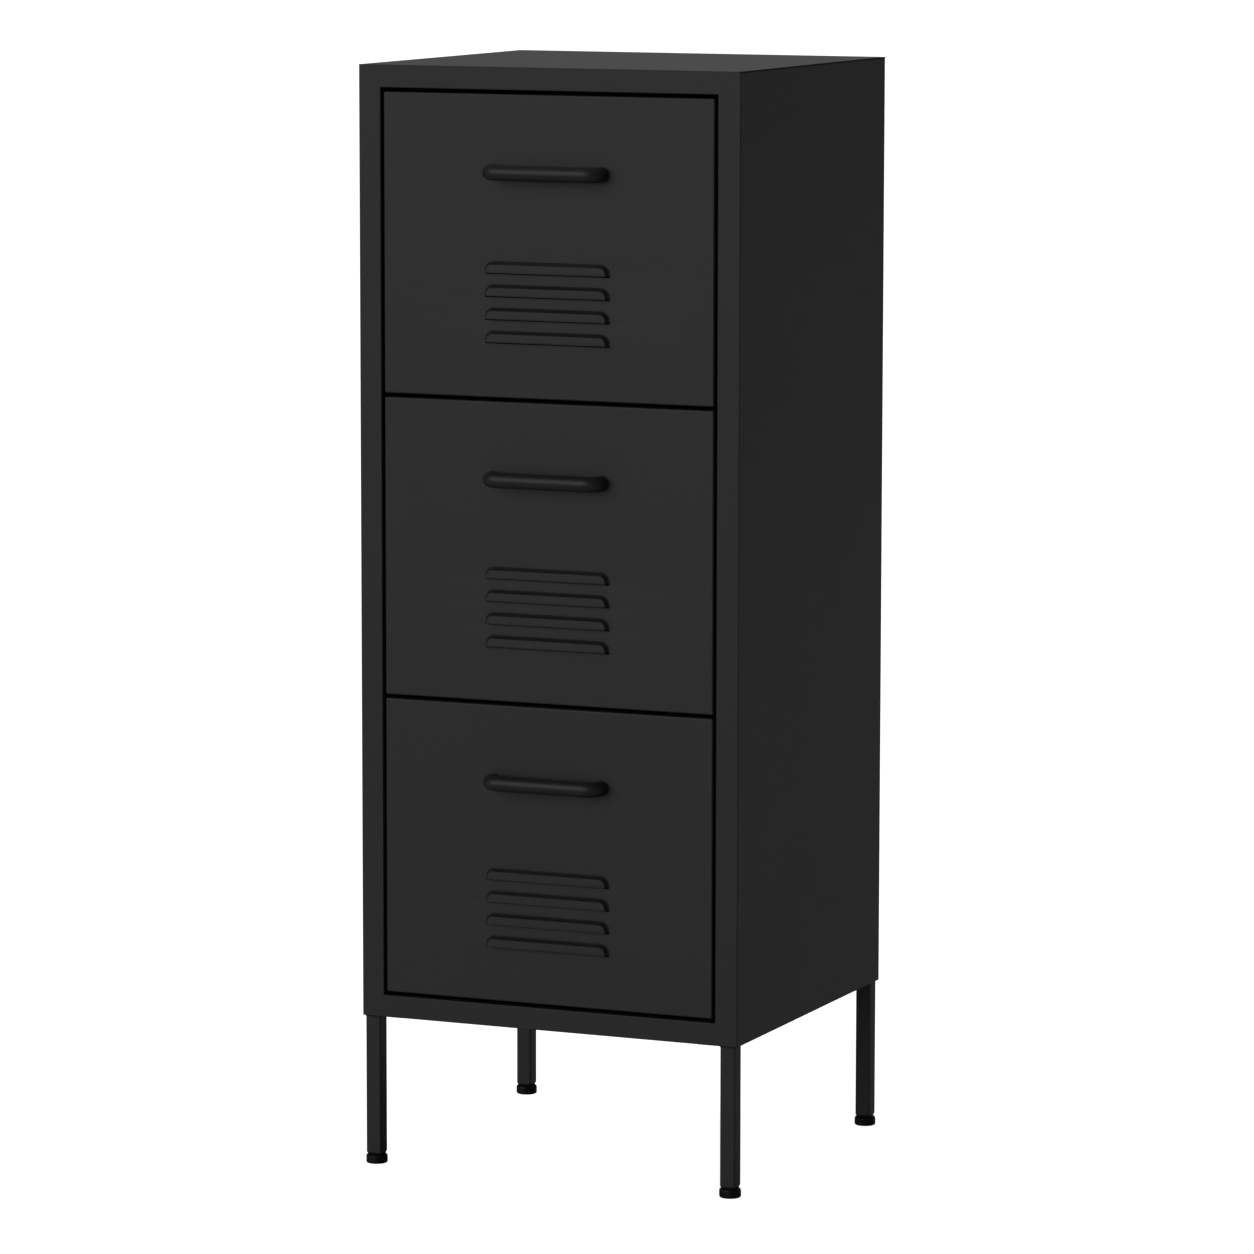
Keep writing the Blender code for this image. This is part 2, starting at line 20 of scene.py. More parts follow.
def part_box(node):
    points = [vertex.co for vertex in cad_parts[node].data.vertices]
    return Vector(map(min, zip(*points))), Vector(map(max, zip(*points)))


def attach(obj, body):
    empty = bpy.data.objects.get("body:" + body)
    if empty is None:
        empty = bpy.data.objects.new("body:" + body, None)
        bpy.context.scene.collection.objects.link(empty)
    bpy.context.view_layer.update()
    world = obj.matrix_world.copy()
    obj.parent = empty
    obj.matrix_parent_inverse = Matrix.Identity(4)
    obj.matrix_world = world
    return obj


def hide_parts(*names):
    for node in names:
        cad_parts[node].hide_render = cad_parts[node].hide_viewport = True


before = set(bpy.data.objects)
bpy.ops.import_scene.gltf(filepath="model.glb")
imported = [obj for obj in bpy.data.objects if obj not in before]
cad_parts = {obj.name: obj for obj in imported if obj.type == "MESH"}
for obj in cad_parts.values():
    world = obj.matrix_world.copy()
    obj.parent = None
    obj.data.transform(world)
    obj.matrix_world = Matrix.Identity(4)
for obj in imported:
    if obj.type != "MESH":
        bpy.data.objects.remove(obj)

Array = np.ndarray
Triple = tuple[float, float, float]
Trim = Callable[[Array], tuple[Array, Array]]

log = logging.getLogger("tall_drawer_chest")

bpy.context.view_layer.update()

WELD = 1e-6
CREASE = math.radians(32)
NORMAL_WEIGHT = 100
DRAWERS = (1, 2, 3)


class Axis(Enum):
    """One of the three axes, by its place in a point."""

    X = 0
    Y = 1
    Z = 2


class Place(Enum):
    """A place on the chest."""

    @property
    def word(self) -> str:
        """The place's name as the nodes spell it."""
        return self.name.lower()


class Side(Place):
    """Left or right of the chest, with the sign of its X."""

    LEFT = -1
    RIGHT = 1


class Row(Place):
    """Front or rear of the chest, with the sign of its Y."""

    FRONT = -1
    REAR = 1


CORNERS = [(row, side) for row in Row for side in Side]


@dataclass(frozen=True)
class Box:
    """The lowest and highest corner of a node at rest."""

    low: Array
    high: Array

    @classmethod
    def of(cls, *nodes: str) -> "Box":
        """The box that holds one node or several."""
        lows, highs = zip(*(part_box(node) for node in nodes))
        return cls(np.min(lows, axis=0), np.max(highs, axis=0))

    @property
    def centre(self) -> Array:
        """The box's middle point."""
        return (self.low + self.high) / 2

    @property
    def size(self) -> Array:
        """The box's three sides."""
        return self.high - self.low

    def upright(self, height: float = 0.0) -> Array:
        """The point at a height on the box's upright middle line."""
        return np.array([*self.centre[:2], height])

    def outer(self, side: Side) -> float:
        """X of the box's face away from the chest's middle."""
        return self.high[0] if side is Side.RIGHT else self.low[0]

    def inner(self, side: Side) -> float:
        """X of the box's face towards the chest's middle."""
        return self.low[0] if side is Side.RIGHT else self.high[0]


# ---- Curves in a plane ----


def unit(vectors: Array) -> Array:
    """Each vector divided by its own length."""
    return vectors / np.linalg.norm(vectors, axis=-1, keepdims=True)


def ray(angle: Array) -> Array:
    """The unit vector at each angle in radians: (cos a, sin a)."""
    return np.stack([np.cos(angle), np.sin(angle)], axis=-1)


def turn(steps: int) -> Array:
    """Even angles round a whole circle, in radians."""
    return np.linspace(0, 2 * np.pi, steps, endpoint=False)


def ease(share: Array) -> Array:
    """An S-shaped step from 0 to 1: 3 s^2 - 2 s^3, flat at both ends."""
    share = np.clip(share, 0.0, 1.0)
    return share * share * (3 - 2 * share)


def arc(centre: tuple[float, float], radius: float, start: float, end: float, steps: int) -> Array:
    """Points at even angles along an arc: centre + radius (cos a, sin a).

    Args:
        centre: The arc's centre.
        radius: Its radius.
        start: First angle in degrees, from the first axis towards the second.
        end: Last angle in degrees.
        steps: How many chords.

    Returns:
        The points, one more than the steps.
    """
    return np.array(centre) + radius * ray(np.radians(np.linspace(start, end, steps + 1)))


def filleted(corners: list[tuple[float, float]], radius: float, steps: int = 4) -> Array:
    """An open path whose inner corners are turned into arcs.

    Each arc's centre lies on the corner's bisector at radius / sin(half the corner's angle), and its points
    go round it at even angles from one tangent point to the other.

    Args:
        corners: The path's corners, at least three.
        radius: Radius of each bend.
        steps: Chords in each bend.

    Returns:
        The path's points.
    """
    corners = np.array(corners, float)
    before = unit(corners[:-2] - corners[1:-1])
    after = unit(corners[2:] - corners[1:-1])
    half = np.arccos(np.clip((before * after).sum(axis=1), -1, 1))[:, None] / 2
    centre = corners[1:-1] + unit(before + after) * radius / np.sin(half)
    first = corners[1:-1] + before * radius / np.tan(half) - centre
    cross = before[:, 0] * after[:, 1] - before[:, 1] * after[:, 0]
    sweep = -np.sign(cross)[:, None] * (np.pi - 2 * half)
    angle = np.arctan2(first[:, 1], first[:, 0])[:, None] + sweep * np.linspace(0, 1, steps + 1)
    bends = centre[:, None] + radius * ray(angle)
    return np.vstack([corners[:1], bends.reshape(-1, 2), corners[-1:]])


def left_of(path: Array, distance: float) -> Array:
    """The path moved sideways, mitred at its points.

    With n1 and n2 the left normals of the two runs that meet at a point, the point moves by
    distance (n1 + n2) / (1 + n1 . n2).

    Args:
        path: The path's points.
        distance: How far it moves to its left.

    Returns:
        The moved points.
    """
    step = unit(np.diff(path, axis=0))
    normal = np.stack([-step[:, 1], step[:, 0]], axis=1)
    first, second = np.vstack([normal[:1], normal]), np.vstack([normal, normal[-1:]])
    return path + distance * (first + second) / (1 + (first * second).sum(axis=1, keepdims=True))


def rounded_square(half: float, corner: float, steps: int = 4) -> Array:
    """A closed square outline with round corners: (half - corner) (sign, sign) + corner (cos a, sin a).

    Args:
        half: Half the square's side.
        corner: Radius of its corners.
        steps: Chords in each corner.

    Returns:
        The outline's points.
    """
    start = turn(4)[:, None]
    signs = np.sign(ray(start + np.radians(45)))
    bends = ray(start + np.radians(np.linspace(0, 90, steps + 1)))
    return ((half - corner) * signs + corner * bends).reshape(-1, 2)


def lay(axis: Axis, plane: Array, along: Array | float) -> Array:
    """Puts plane points into space: their coordinates take the two other axes in order.

    Args:
        axis: The axis that stands on the plane.
        plane: Points of the plane, with two coordinates in the last dimension.
        along: The coordinate on the axis, one number or one for each point.

    Returns:
        The same points with three coordinates.
    """
    first, second = [index for index in range(3) if index != axis.value]
    points = np.empty(plane.shape[:-1] + (3,))
    points[..., first] = plane[..., 0]
    points[..., second] = plane[..., 1]
    points[..., axis.value] = along
    return points


# ---- Surfaces ----


@dataclass
class Skin:
    """Points and faces of one piece, gathered from grids and flat outlines and welded at the end."""

    points: list[Array] = field(default_factory=list)
    faces: list[list[int]] = field(default_factory=list)
    count: int = 0

    def _take(self, points: Array) -> int:
        """Adds points.

        Args:
            points: Points in an array of any shape.

        Returns:
            The number of the first.
        """
        first = self.count
        self.points.append(points.reshape(-1, 3))
        self.count += self.points[-1].shape[0]
        return first

    def grid(self, points: Array, wrap_rows: bool = False, wrap_columns: bool = False) -> "Skin":
        """Adds a grid of points as four-cornered faces.

        Args:
            points: Rows by columns by three.
            wrap_rows: True if the last row meets the first.
            wrap_columns: True if the last column meets the first.

        Returns:
            The skin, so that calls can be chained.
        """
        rows, columns = points.shape[:2]
        index = self._take(points) + np.arange(rows * columns).reshape(rows, columns)
        index = np.pad(index, ((0, int(wrap_rows)), (0, int(wrap_columns))), mode="wrap")
        quads = np.stack([index[:-1, :-1], index[1:, :-1], index[1:, 1:], index[:-1, 1:]], axis=-1)
        self.faces += quads.reshape(-1, 4).tolist()
        return self

    def flat(self, outline: Array) -> "Skin":
        """Adds one flat face.

        Args:
            outline: Its corners in order.

        Returns:
            The skin.
        """
        first = self._take(outline)
        self.faces.append(list(range(first, self.count)))
        return self

    def join(self, other: "Skin") -> "Skin":
        """Takes in another skin.

        Args:
            other: The skin whose points and faces are added.

        Returns:
            The skin.
        """
        offset = self.count
        self.points += other.points
        self.faces += [[index + offset for index in face] for face in other.faces]
        self.count += other.count
        return self

    def mesh(self, name: str, faced: bool = True) -> bpy.types.Mesh:
        """Welds the points and makes the mesh.

        Args:
            name: The mesh's name.
            faced: True to turn its faces outwards.

        Returns:
            A smooth mesh with sharp creases.
        """
        made = bpy.data.meshes.new(name)
        made.from_pydata(np.vstack(self.points).tolist(), [], self.faces)
        work = bmesh.new()
        work.from_mesh(made)
        bmesh.ops.remove_doubles(work, verts=work.verts, dist=WELD)
        bmesh.ops.dissolve_degenerate(work, dist=WELD, edges=work.edges)
        if faced:
            bmesh.ops.recalc_face_normals(work, faces=work.faces)
        work.to_mesh(made)
        work.free()
        made.shade_smooth()
        made.set_sharp_from_angle(angle=CREASE)
        return made


def folded(path: Array, sheet: float, axis: Axis, box: Box, trim: Trim | None = None) -> Skin:
    """A folded sheet: a strip of metal carried along a path, closed all round.

    The ring of four points at each station of the path is the sheet's two skins at its two ends; the second
    skin lies to the left of the path.

    Args:
        path: The outer skin's line, in the plane across the axis.
        sheet: The sheet's thickness, below 0 to lie to the right.
        axis: The axis along which the strip is wide.
        box: The box that gives the strip's two ends on that axis.
        trim: Gives the two ends for each point of the path instead, where they differ.

    Returns:
        The closed skin.
    """
    inner = left_of(path, sheet)
    start, end = trim(path) if trim else (box.low[axis.value], box.high[axis.value])
    ring = ((path, start), (path, end), (inner, end), (inner, start))
    grid = np.stack([lay(axis, line, along) for line, along in ring], axis=1)
    return Skin().grid(grid, wrap_columns=True).flat(grid[0]).flat(grid[-1])


def turned(profile: Array, axis: Axis, centre: Array, steps: int = 24, loop: bool = False) -> Skin:
    """A turned surface: each profile point (r, h) goes round the axis as (r cos a, r sin a, h).

    Args:
        profile: Radius and height of each point, in order along the profile.
        axis: The axis of turning.
        centre: The point that height 0 lies at.
        steps: Points round the axis.
        loop: True if the profile is closed, as on a ring.

    Returns:
        The skin, closed at the axis where the profile reaches it.
    """
    plane = profile[:, None, :1] * ray(turn(steps))
    return Skin().grid(lay(axis, plane, profile[:, 1:]) + centre, wrap_rows=loop, wrap_columns=True)


def loft(stations: list[tuple[Array, float]], axis: Axis, centre: Array, loop: bool = False) -> Skin:
    """A solid through outlines of equal count that lie across an axis, one at each height.

    Args:
        stations: Each outline with its height.
        axis: The axis that the outlines lie across.
        centre: The point that the outlines and heights are counted from.
        loop: True if the last outline meets the first, as on a tube; otherwise both ends are flat faces.

    Returns:
        The closed skin.
    """
    rings = np.stack([lay(axis, outline, height) for outline, height in stations]) + centre
    skin = Skin().grid(rings, wrap_rows=loop, wrap_columns=True)
    return skin if loop else skin.flat(rings[0]).flat(rings[-1])


# ---- Finishes ----


class Wire:
    """A shader value that takes Python's operators; each one adds its Math node."""

    def __init__(self, shader: "Shader", socket: bpy.types.NodeSocket) -> None:
        """Wraps an output socket of one shader."""
        self.shader = shader
        self.socket = socket

    def _math(self, operation: str, first: "Wire | float", second: "Wire | float") -> "Wire":
        """Adds a Math node on two values."""
        return self.shader.node("ShaderNodeMath", {"operation": operation}, {0: first, 1: second})

    def __add__(self, other: "Wire | float") -> "Wire":
        """self + other."""
        return self._math("ADD", self, other)

    def __sub__(self, other: "Wire | float") -> "Wire":
        """self - other."""
        return self._math("SUBTRACT", self, other)

    def __rsub__(self, other: float) -> "Wire":
        """other - self."""
        return self._math("SUBTRACT", other, self)

    def __mul__(self, other: "Wire | float") -> "Wire":
        """self * other."""
        return self._math("MULTIPLY", self, other)

    def __abs__(self) -> "Wire":
        """The size of self, without its sign."""
        return self._math("ABSOLUTE", self, 0.0)

    def part(self, axis: Axis) -> "Wire":
        """One coordinate of a vector."""
        return self.shader.node("ShaderNodeSeparateXYZ", {}, {0: self}, axis.value)

    __radd__ = __add__
    __rmul__ = __mul__


class Shader:
    """One material's nodes."""

    def __init__(self, name: str) -> None:
        """Starts a material that holds one Principled shader.

        Args:
            name: The material's name.
        """
        self.material = bpy.data.materials.new(name)
        self.material.use_nodes = True
        self.tree = self.material.node_tree
        self.surface = self.tree.nodes["Principled BSDF"]

    def _plug(self, node: bpy.types.Node, inputs: dict[str | int, object]) -> None:
        """Sets or links a node's inputs.

        Args:
            node: The node.
            inputs: Values or wires by the input's name or number.
        """
        for key, value in inputs.items():
            if isinstance(value, Wire):
                self.tree.links.new(value.socket, node.inputs[key])
            else:
                node.inputs[key].default_value = value

    def node(self, kind: str, settings: dict, inputs: dict, output: str | int = 0) -> Wire:
        """Adds a node.

        Args:
            kind: The node's type.
            settings: Its properties, set before its sockets; "stops" is a ramp's list of place and colour.
            inputs: Values or wires by input socket.
            output: The output to wrap.

        Returns:
            The wire from that output.
        """
        made = self.tree.nodes.new(kind)
        for key, value in settings.items():
            if key == "stops":
                for _ in value[2:]:
                    made.color_ramp.elements.new(0.5)
                for element, (place, colour) in zip(made.color_ramp.elements, value):
                    element.position = place
                    element.color = colour
            else:
                setattr(made, key, value)
        self._plug(made, inputs)
        return Wire(self, made.outputs[output])

    def place(self) -> Wire:
        """Object coordinates, in metres."""
        return self.node("ShaderNodeTexCoord", {}, {}, "Object")

    def noise(self, scale: float, detail: float, stretch: Triple | None = None) -> Wire:
        """Smooth noise from 0 to 1 on Object coordinates.

        Args:
            scale: Its waves to a metre, roughly.
            detail: How many finer layers it has.
            stretch: Scale of each axis; the noise is drawn out along an axis where it is small.

        Returns:
            The noise's wire.
        """
        where = self.place()
        if stretch:
            where = self.node("ShaderNodeMapping", {}, {"Vector": where, "Scale": stretch})
        inputs = {"Vector": where, "Scale": scale, "Detail": detail}
        return self.node("ShaderNodeTexNoise", {}, inputs, "Fac")

    def blend(self, share: Wire, *colours: Triple) -> Wire:
        """A colour by share, from the first colour at 0 to the last at 1."""
        stops = [(place, (*colour, 1.0)) for place, colour in zip(np.linspace(0, 1, len(colours)), colours)]
        return self.node("ShaderNodeValToRGB", {"stops": stops}, {0: share}, "Color")

    def edges(self, box: Box, width: float) -> Wire:
        """1 along a box's edges, falling to 0 a width away from them.

        Each coordinate counts from 0 to 1 as it comes within the width of the box's side, so on an edge the
        three add up to two or more.

        Args:
            box: The box.
            width: Width of the band along each edge.

        Returns:
            The band's wire.
        """
        where = self.place()
        total = -1.0
        for axis in Axis:
            half = float(box.size[axis.value]) / 2
            apart = abs(where.part(axis) - float(box.centre[axis.value]))
            span = {"Value": apart, "From Min": half - width, "From Max": half - width / 2}
            total = total + self.node("ShaderNodeMapRange", {}, span)
        return self.node("ShaderNodeClamp", {}, {"Value": total})

    def bump(self, height: Wire, depth: float) -> Wire:
        """A normal from a height of 0 to 1 that stands for a depth in metres."""
        return self.node("ShaderNodeBump", {}, {"Height": height, "Distance": depth, "Strength": 1.0})

    def finish(self, inputs: dict[str | int, object]) -> bpy.types.Material:
        """Sets the Principled shader's inputs and returns the material."""
        self._plug(self.surface, inputs)
        return self.material


@dataclass(frozen=True)
class PowderCoat:
    """Fine matt black powder coat: orange peel of 1 mm, slightly uneven gloss, duller along the casing's
    edges, where painted shade darkens it.
    """

    name: str = "matt_black_powder_coat"
    dark: Triple = (0.0168, 0.0168, 0.0166)
    light: Triple = (0.0184, 0.0184, 0.0182)
    # painted shade: the near-black colour of the band along the casing's edges
    edge: Triple = (0.002, 0.002, 0.002)
    edge_width: float = 0.0015
    edge_dulling: float = 0.3
    cloud_scale: float = 9.0
    cloud_tone: float = 0.27
    cloud_dulling: float = 0.03
    grit_scale: float = 2600.0
    grit_tone: float = 0.23
    peel_scale: float = 900.0
    peel_dulling: float = 0.10
    peel_share: float = 0.7
    peel_depth: float = 0.00003
    roughness: float = 0.46
    specular: float = 0.42

    def material(self) -> bpy.types.Material:
        """Peel and grit are two noises in the bump; a wide noise, the cloud, shifts colour and gloss.

        The tone runs from 0 on the casing's edges, which is painted shade, over a half for the dark coat,
        to 1 for the light.

        Returns:
            The coat's material.
        """
        shader = Shader(self.name)
        outside = ("front_frame", "left_side_panel", "right_side_panel", "top_panel", "front_left_foot")
        # painted shade: a band along the casing's outside edges, which darkens the coat there
        edges = shader.edges(Box.of(*outside), self.edge_width)
        cloud = shader.noise(self.cloud_scale, detail=3.0)
        grit = shader.noise(self.grit_scale, detail=1.0)
        peel = shader.noise(self.peel_scale, detail=2.0)
        # the edge band pulls the tone down to the painted shade colour
        tone = (0.5 + self.cloud_tone * cloud + self.grit_tone * grit) * (1 - edges)
        dulling = self.cloud_dulling * (cloud - 0.5) + self.peel_dulling * (peel - 0.5)
        height = self.peel_share * peel + (1 - self.peel_share) * grit
        return shader.finish({
            "Base Color": shader.blend(tone, self.edge, self.dark, self.light),
            "Roughness": self.roughness + dulling + self.edge_dulling * edges,
            "Normal": shader.bump(height, self.peel_depth),
            "Specular IOR Level": self.specular,
        })


@dataclass(frozen=True)
class ZincPlate:
    """Bright zinc plate: a faint rolled grain, soft cloudy patches and a slight blue tint."""

    dull: Triple = (0.42, 0.44, 0.47)
    bright: Triple = (0.62, 0.63, 0.64)
    cloud_scale: float = 60.0
    cloud_tone: float = 0.6
    cloud_dulling: float = 0.14
    grain_scale: float = 700.0
    grain_stretch: Triple = (1.0, 0.02, 1.0)
    grain_dulling: float = 0.10
    grain_depth: float = 0.00001
    roughness: float = 0.34

    def material(self) -> bpy.types.Material:
        """Clouds shift the colour, and a noise drawn out along Y is the rolled grain.

        Returns:
            The plate's material.
        """
        shader = Shader("bright_zinc_plate")
        cloud = shader.noise(self.cloud_scale, detail=4.0)
        grain = shader.noise(self.grain_scale, detail=2.0, stretch=self.grain_stretch)
        tone = self.cloud_tone * cloud + (1 - self.cloud_tone) * grain
        dulling = self.cloud_dulling * (cloud - 0.5) + self.grain_dulling * (grain - 0.5)
        return shader.finish({
            "Base Color": shader.blend(tone, self.dull, self.bright),
            "Metallic": 1.0,
            "Roughness": self.roughness + dulling,
            "Normal": shader.bump(grain, self.grain_depth),
        })


@dataclass(frozen=True)
class Nylon:
    """Moulded nylon, slightly yellow and cloudy."""

    cream: Triple = (0.66, 0.64, 0.57)
    white: Triple = (0.78, 0.77, 0.73)
    cloud_scale: float = 150.0
    skin_scale: float = 1800.0
    skin_dulling: float = 0.12
    skin_depth: float = 0.00001
    roughness: float = 0.42

    def material(self) -> bpy.types.Material:
        """Clouds shift the colour and a fine noise dulls the moulded skin.

        Returns:
            The nylon's material.
        """
        shader = Shader("moulded_nylon")
        cloud = shader.noise(self.cloud_scale, detail=3.0)
        skin = shader.noise(self.skin_scale, detail=1.0)
        return shader.finish({
            "Base Color": shader.blend(cloud, self.cream, self.white),
            "Roughness": self.roughness + self.skin_dulling * (skin - 0.5),
            "Normal": shader.bump(skin, self.skin_depth),
        })


@dataclass(frozen=True)
class BlackPlastic:
    """Moulded black polypropylene with a fine spark-eroded texture."""

    dark: Triple = (0.002, 0.002, 0.002)
    light: Triple = (0.005, 0.005, 0.0052)
    grain_scale: float = 1400.0
    grain_dulling: float = 0.14
    grain_depth: float = 0.00003
    roughness: float = 0.50
    specular: float = 0.22

    def material(self) -> bpy.types.Material:
        """One fine noise is the mould's grain, in colour, gloss and height.

        Returns:
            The plastic's material.
        """
        shader = Shader("moulded_black_plastic")
        grain = shader.noise(self.grain_scale, detail=2.0)
        return shader.finish({
            "Base Color": shader.blend(grain, self.dark, self.light),
            "Roughness": self.roughness + self.grain_dulling * (grain - 0.5),
            "Normal": shader.bump(grain, self.grain_depth),
            "Specular IOR Level": self.specular,
        })


# painted light: the drawer fronts get a lighter copy of the casing's coat, for the extra light on them
PAINTED_LIGHT_FRONT_COAT = PowderCoat("front_coat_with_painted_light", (0.0204, 0.0204, 0.0201), (0.0220, 0.0220, 0.0217))
# painted shade: the handles get a darker copy of the casing's coat, which darkens the bar and its rims
PAINTED_SHADE_HANDLE_COAT = PowderCoat("handle_coat_with_painted_shade", (0.0110, 0.0110, 0.0109), (0.0124, 0.0124, 0.0122))


class Finish(Enum):
    """Every finish with the record's material slot that it belongs to."""

    POWDER = ("black_powder_coat", PowderCoat())
    # the drawer fronts' coat, lightened as painted light
    FRONT = ("black_powder_coat", PAINTED_LIGHT_FRONT_COAT)
    # the handles' coat, darkened as painted shade
    HANDLE = ("black_powder_coat", PAINTED_SHADE_HANDLE_COAT)
    ZINC = ("zinc_plated_steel", ZincPlate())
    NYLON = ("white_nylon", Nylon())
    PLASTIC = ("black_plastic", BlackPlastic())

    def __init__(self, slot: str, coat: PowderCoat | ZincPlate | Nylon | BlackPlastic) -> None:
        """Names the two halves of the value."""
        self.slot = slot
        self.coat = coat


@dataclass
class Workshop:
    """Makes pieces: names them, dresses them and rides them on their bodies."""

    materials: dict[Finish, bpy.types.Material] = field(
        default_factory=lambda: {finish: finish.coat.material() for finish in Finish}
    )

    def piece(
        self,
        name: str,
        skin: Skin,
        finish: Finish,
        body: str,
        stands_for: str | None = None,
        sheet: float = 0.0,
    ) -> None:
        """Makes one finished piece; weighted normals keep its flats flat next to their folds.

        Args:
            name: The piece's name.
            skin: Its surface, in place.
            finish: Its finish, which gives its material.
            body: The body that it rides on.
            stands_for: The node that it replaces, if any.
            sheet: Thickness that an open skin gets, away from its normals.
        """
        mesh = skin.mesh(name)
        mesh.materials.append(self.materials[finish])
        made = bpy.data.objects.new(name, mesh)
        bpy.context.scene.collection.objects.link(made)
        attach(made, body)
        if stands_for:
            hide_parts(stands_for)
        if sheet:
            solid = made.modifiers.new("sheet", "SOLIDIFY")
            solid.thickness = sheet
            solid.offset = -1
            solid.use_even_offset = True
        normals = made.modifiers.new("flat_faces", "WEIGHTED_NORMAL")
        normals.keep_sharp = True
        normals.weight = NORMAL_WEIGHT
        log.info("%s: %d faces on %s", name, len(mesh.polygons), body)


@dataclass
class Assembly:
    """A part of the chest that makes its pieces in the workshop."""

    shop: Workshop


# ---- Screws ----


@dataclass(frozen=True)
class PanHead:
    """A pan-head screw's head with a cross recess."""

    radius: float = 0.0042
    height: float = 0.0024
    recess_reach: float = 0.0024
    recess_width: float = 0.0006
    recess_depth: float = 0.0012
    rings: int = 12
    steps: int = 32

    def add(self, skin: Skin, axis: Axis, centre: Array, direction: float) -> None:
        """Adds the head to a skin.

        Over the disc the height is that of a flattened dome, h (1 - s^4)^(1/2) with s the share of the
        radius, less the recess, which is deep near the two lines of the cross and eases out at its reach.

        Args:
            skin: The skin that takes it.
            axis: The screw's axis.
            centre: Middle of the face under the head.
            direction: 1 if the head stands up the axis, -1 if down.
        """
        share = np.linspace(0, 1, self.rings + 1)[:, None]
        plane = self.radius * share[..., None] * ray(turn(self.steps))
        across, reach = np.abs(plane).min(axis=-1), np.abs(plane).max(axis=-1)
        cross = ease((2 * self.recess_width - across) / self.recess_width)
        within = ease((self.recess_reach - reach) / self.recess_width + 1)
        height = self.height * np.sqrt(1 - share**4) - self.recess_depth * cross * within
        skin.grid(lay(axis, plane, direction * height) + centre, wrap_columns=True)
        skin.flat(lay(axis, plane[-1], 0.0) + centre)


@dataclass(frozen=True)
class HexHead:
    """A hexagon head with its round washer face."""

    across: float = 0.008
    height: float = 0.0026
    washer_radius: float = 0.0052
    washer: float = 0.0008
    chamfer: float = 0.0003
    crown: float = 0.93
    steps: int = 36

    def add(self, skin: Skin, axis: Axis, centre: Array, direction: float) -> None:
        """Adds the head to a skin: a disc, then a hexagon with its top edge taken off.

        The hexagon's radius is half / cos(a wrapped to 30 degrees each side of a flat's middle).

        Args:
            skin: The skin that takes it.
            axis: The screw's axis.
            centre: Middle of the face under the washer.
            direction: 1 if the head stands up the axis, -1 if down.
        """
        angle = turn(self.steps)
        wrapped = np.mod(angle, np.radians(60)) - np.radians(30)
        hexagon = ray(angle) * (self.across / 2 / np.cos(wrapped))[:, None]
        washer = self.washer_radius * ray(angle)
        stations = [
            (washer, 0.0), (washer, self.washer), (hexagon, self.washer),
            (hexagon, self.height - self.chamfer), (self.crown * hexagon, self.height),
        ]
        skin.join(loft([(outline, direction * height) for outline, height in stations], axis, centre))


def heads(head: PanHead | HexHead, axis: Axis, direction: float, centres: list[tuple]) -> Skin:
    """The heads of a set of like screws, as one skin.

    Args:
        head: The screw's head.
        axis: Its axis.
        direction: 1 if it stands up the axis, -1 if down.
        centres: Middle of the face under each head.

    Returns:
        The skin of them all.
    """
    skin = Skin()
    for centre in centres:
        head.add(skin, axis, np.array(centre), direction)
    return skin


# ---- Casing ----


@dataclass
class Rim:
    """The folded edge of a rectangular pan: round outside, with an optional lip turned back in."""

    low: Array
    high: Array
    fold: float
    depth: float
    lip: float = 0.0
    steps: int = 5
    stations: tuple[float, ...] = ()

    def flat_outline(self) -> Array:
        """The corners of the flat face inside the fold."""
        low, high = self.low + self.fold, self.high - self.fold
        return np.array([low, (high[0], low[1]), high, (low[0], high[1])])

    def _profile(self) -> Array:
        """Outward reach and depth along the section.

        Returns:
            The points of the fold and the wall, then of the back fold and the lip if there is one.
        """
        front = arc((0.0, self.fold), self.fold, -90, 0, self.steps)
        if not self.lip:
            return np.vstack([front, [(self.fold, self.depth)]])
        back = arc((0.0, self.depth - self.fold), self.fold, 0, 90, self.steps)
        return np.vstack([front, back, [(self.fold - self.lip, self.depth)]])

    def grid(self, axis: Axis, face: float) -> Array:
        """The rim as a grid: stations round the rectangle by points of the section.

        At a corner the station is repeated while its outward direction turns by 90 degrees, which rounds
        the corner; where the section reaches inwards it moves along both coordinates instead, as a mitre.

        Args:
            axis: The axis that the pan's depth runs up.
            face: The flat face's coordinate on it.

        Returns:
            The grid; its first and last station are the same.
        """
        low, high = self.low + self.fold, self.high - self.fold
        marks = np.array(sorted(self.stations))
        right = np.stack([np.full(len(marks), high[0]), marks], axis=1)
        left = np.stack([np.full(len(marks), low[0]), marks[::-1]], axis=1)
        turns = self.steps + 1
        runs = (
            ((high[0], low[1]), -90, right),
            (high, 0, right[:0]),
            ((low[0], high[1]), 90, left),
            (low, 180, left[:0]),
        )
        places, angles, corners = [], [], []
        for corner, start, edge in runs:
            places += [np.tile(corner, (turns, 1)), edge]
            angles += [np.linspace(start, start + 90, turns), np.full(len(edge), start + 90.0)]
            corners += [np.ones(turns, bool), np.zeros(len(edge), bool)]
        place, angle, corner = (np.concatenate(part) for part in (places, angles, corners))
        outward = ray(np.radians(angle))
        square = np.where(corner[:, None], np.sign(place - (low + high) / 2), outward)
        reach, depth = self._profile().T[..., None]
        plane = place[:, None] + outward[:, None] * np.maximum(reach, 0)
        plane += square[:, None] * np.minimum(reach, 0)
        grid = lay(axis, plane, face + depth[:, 0])
        return np.concatenate([grid, grid[:1]])


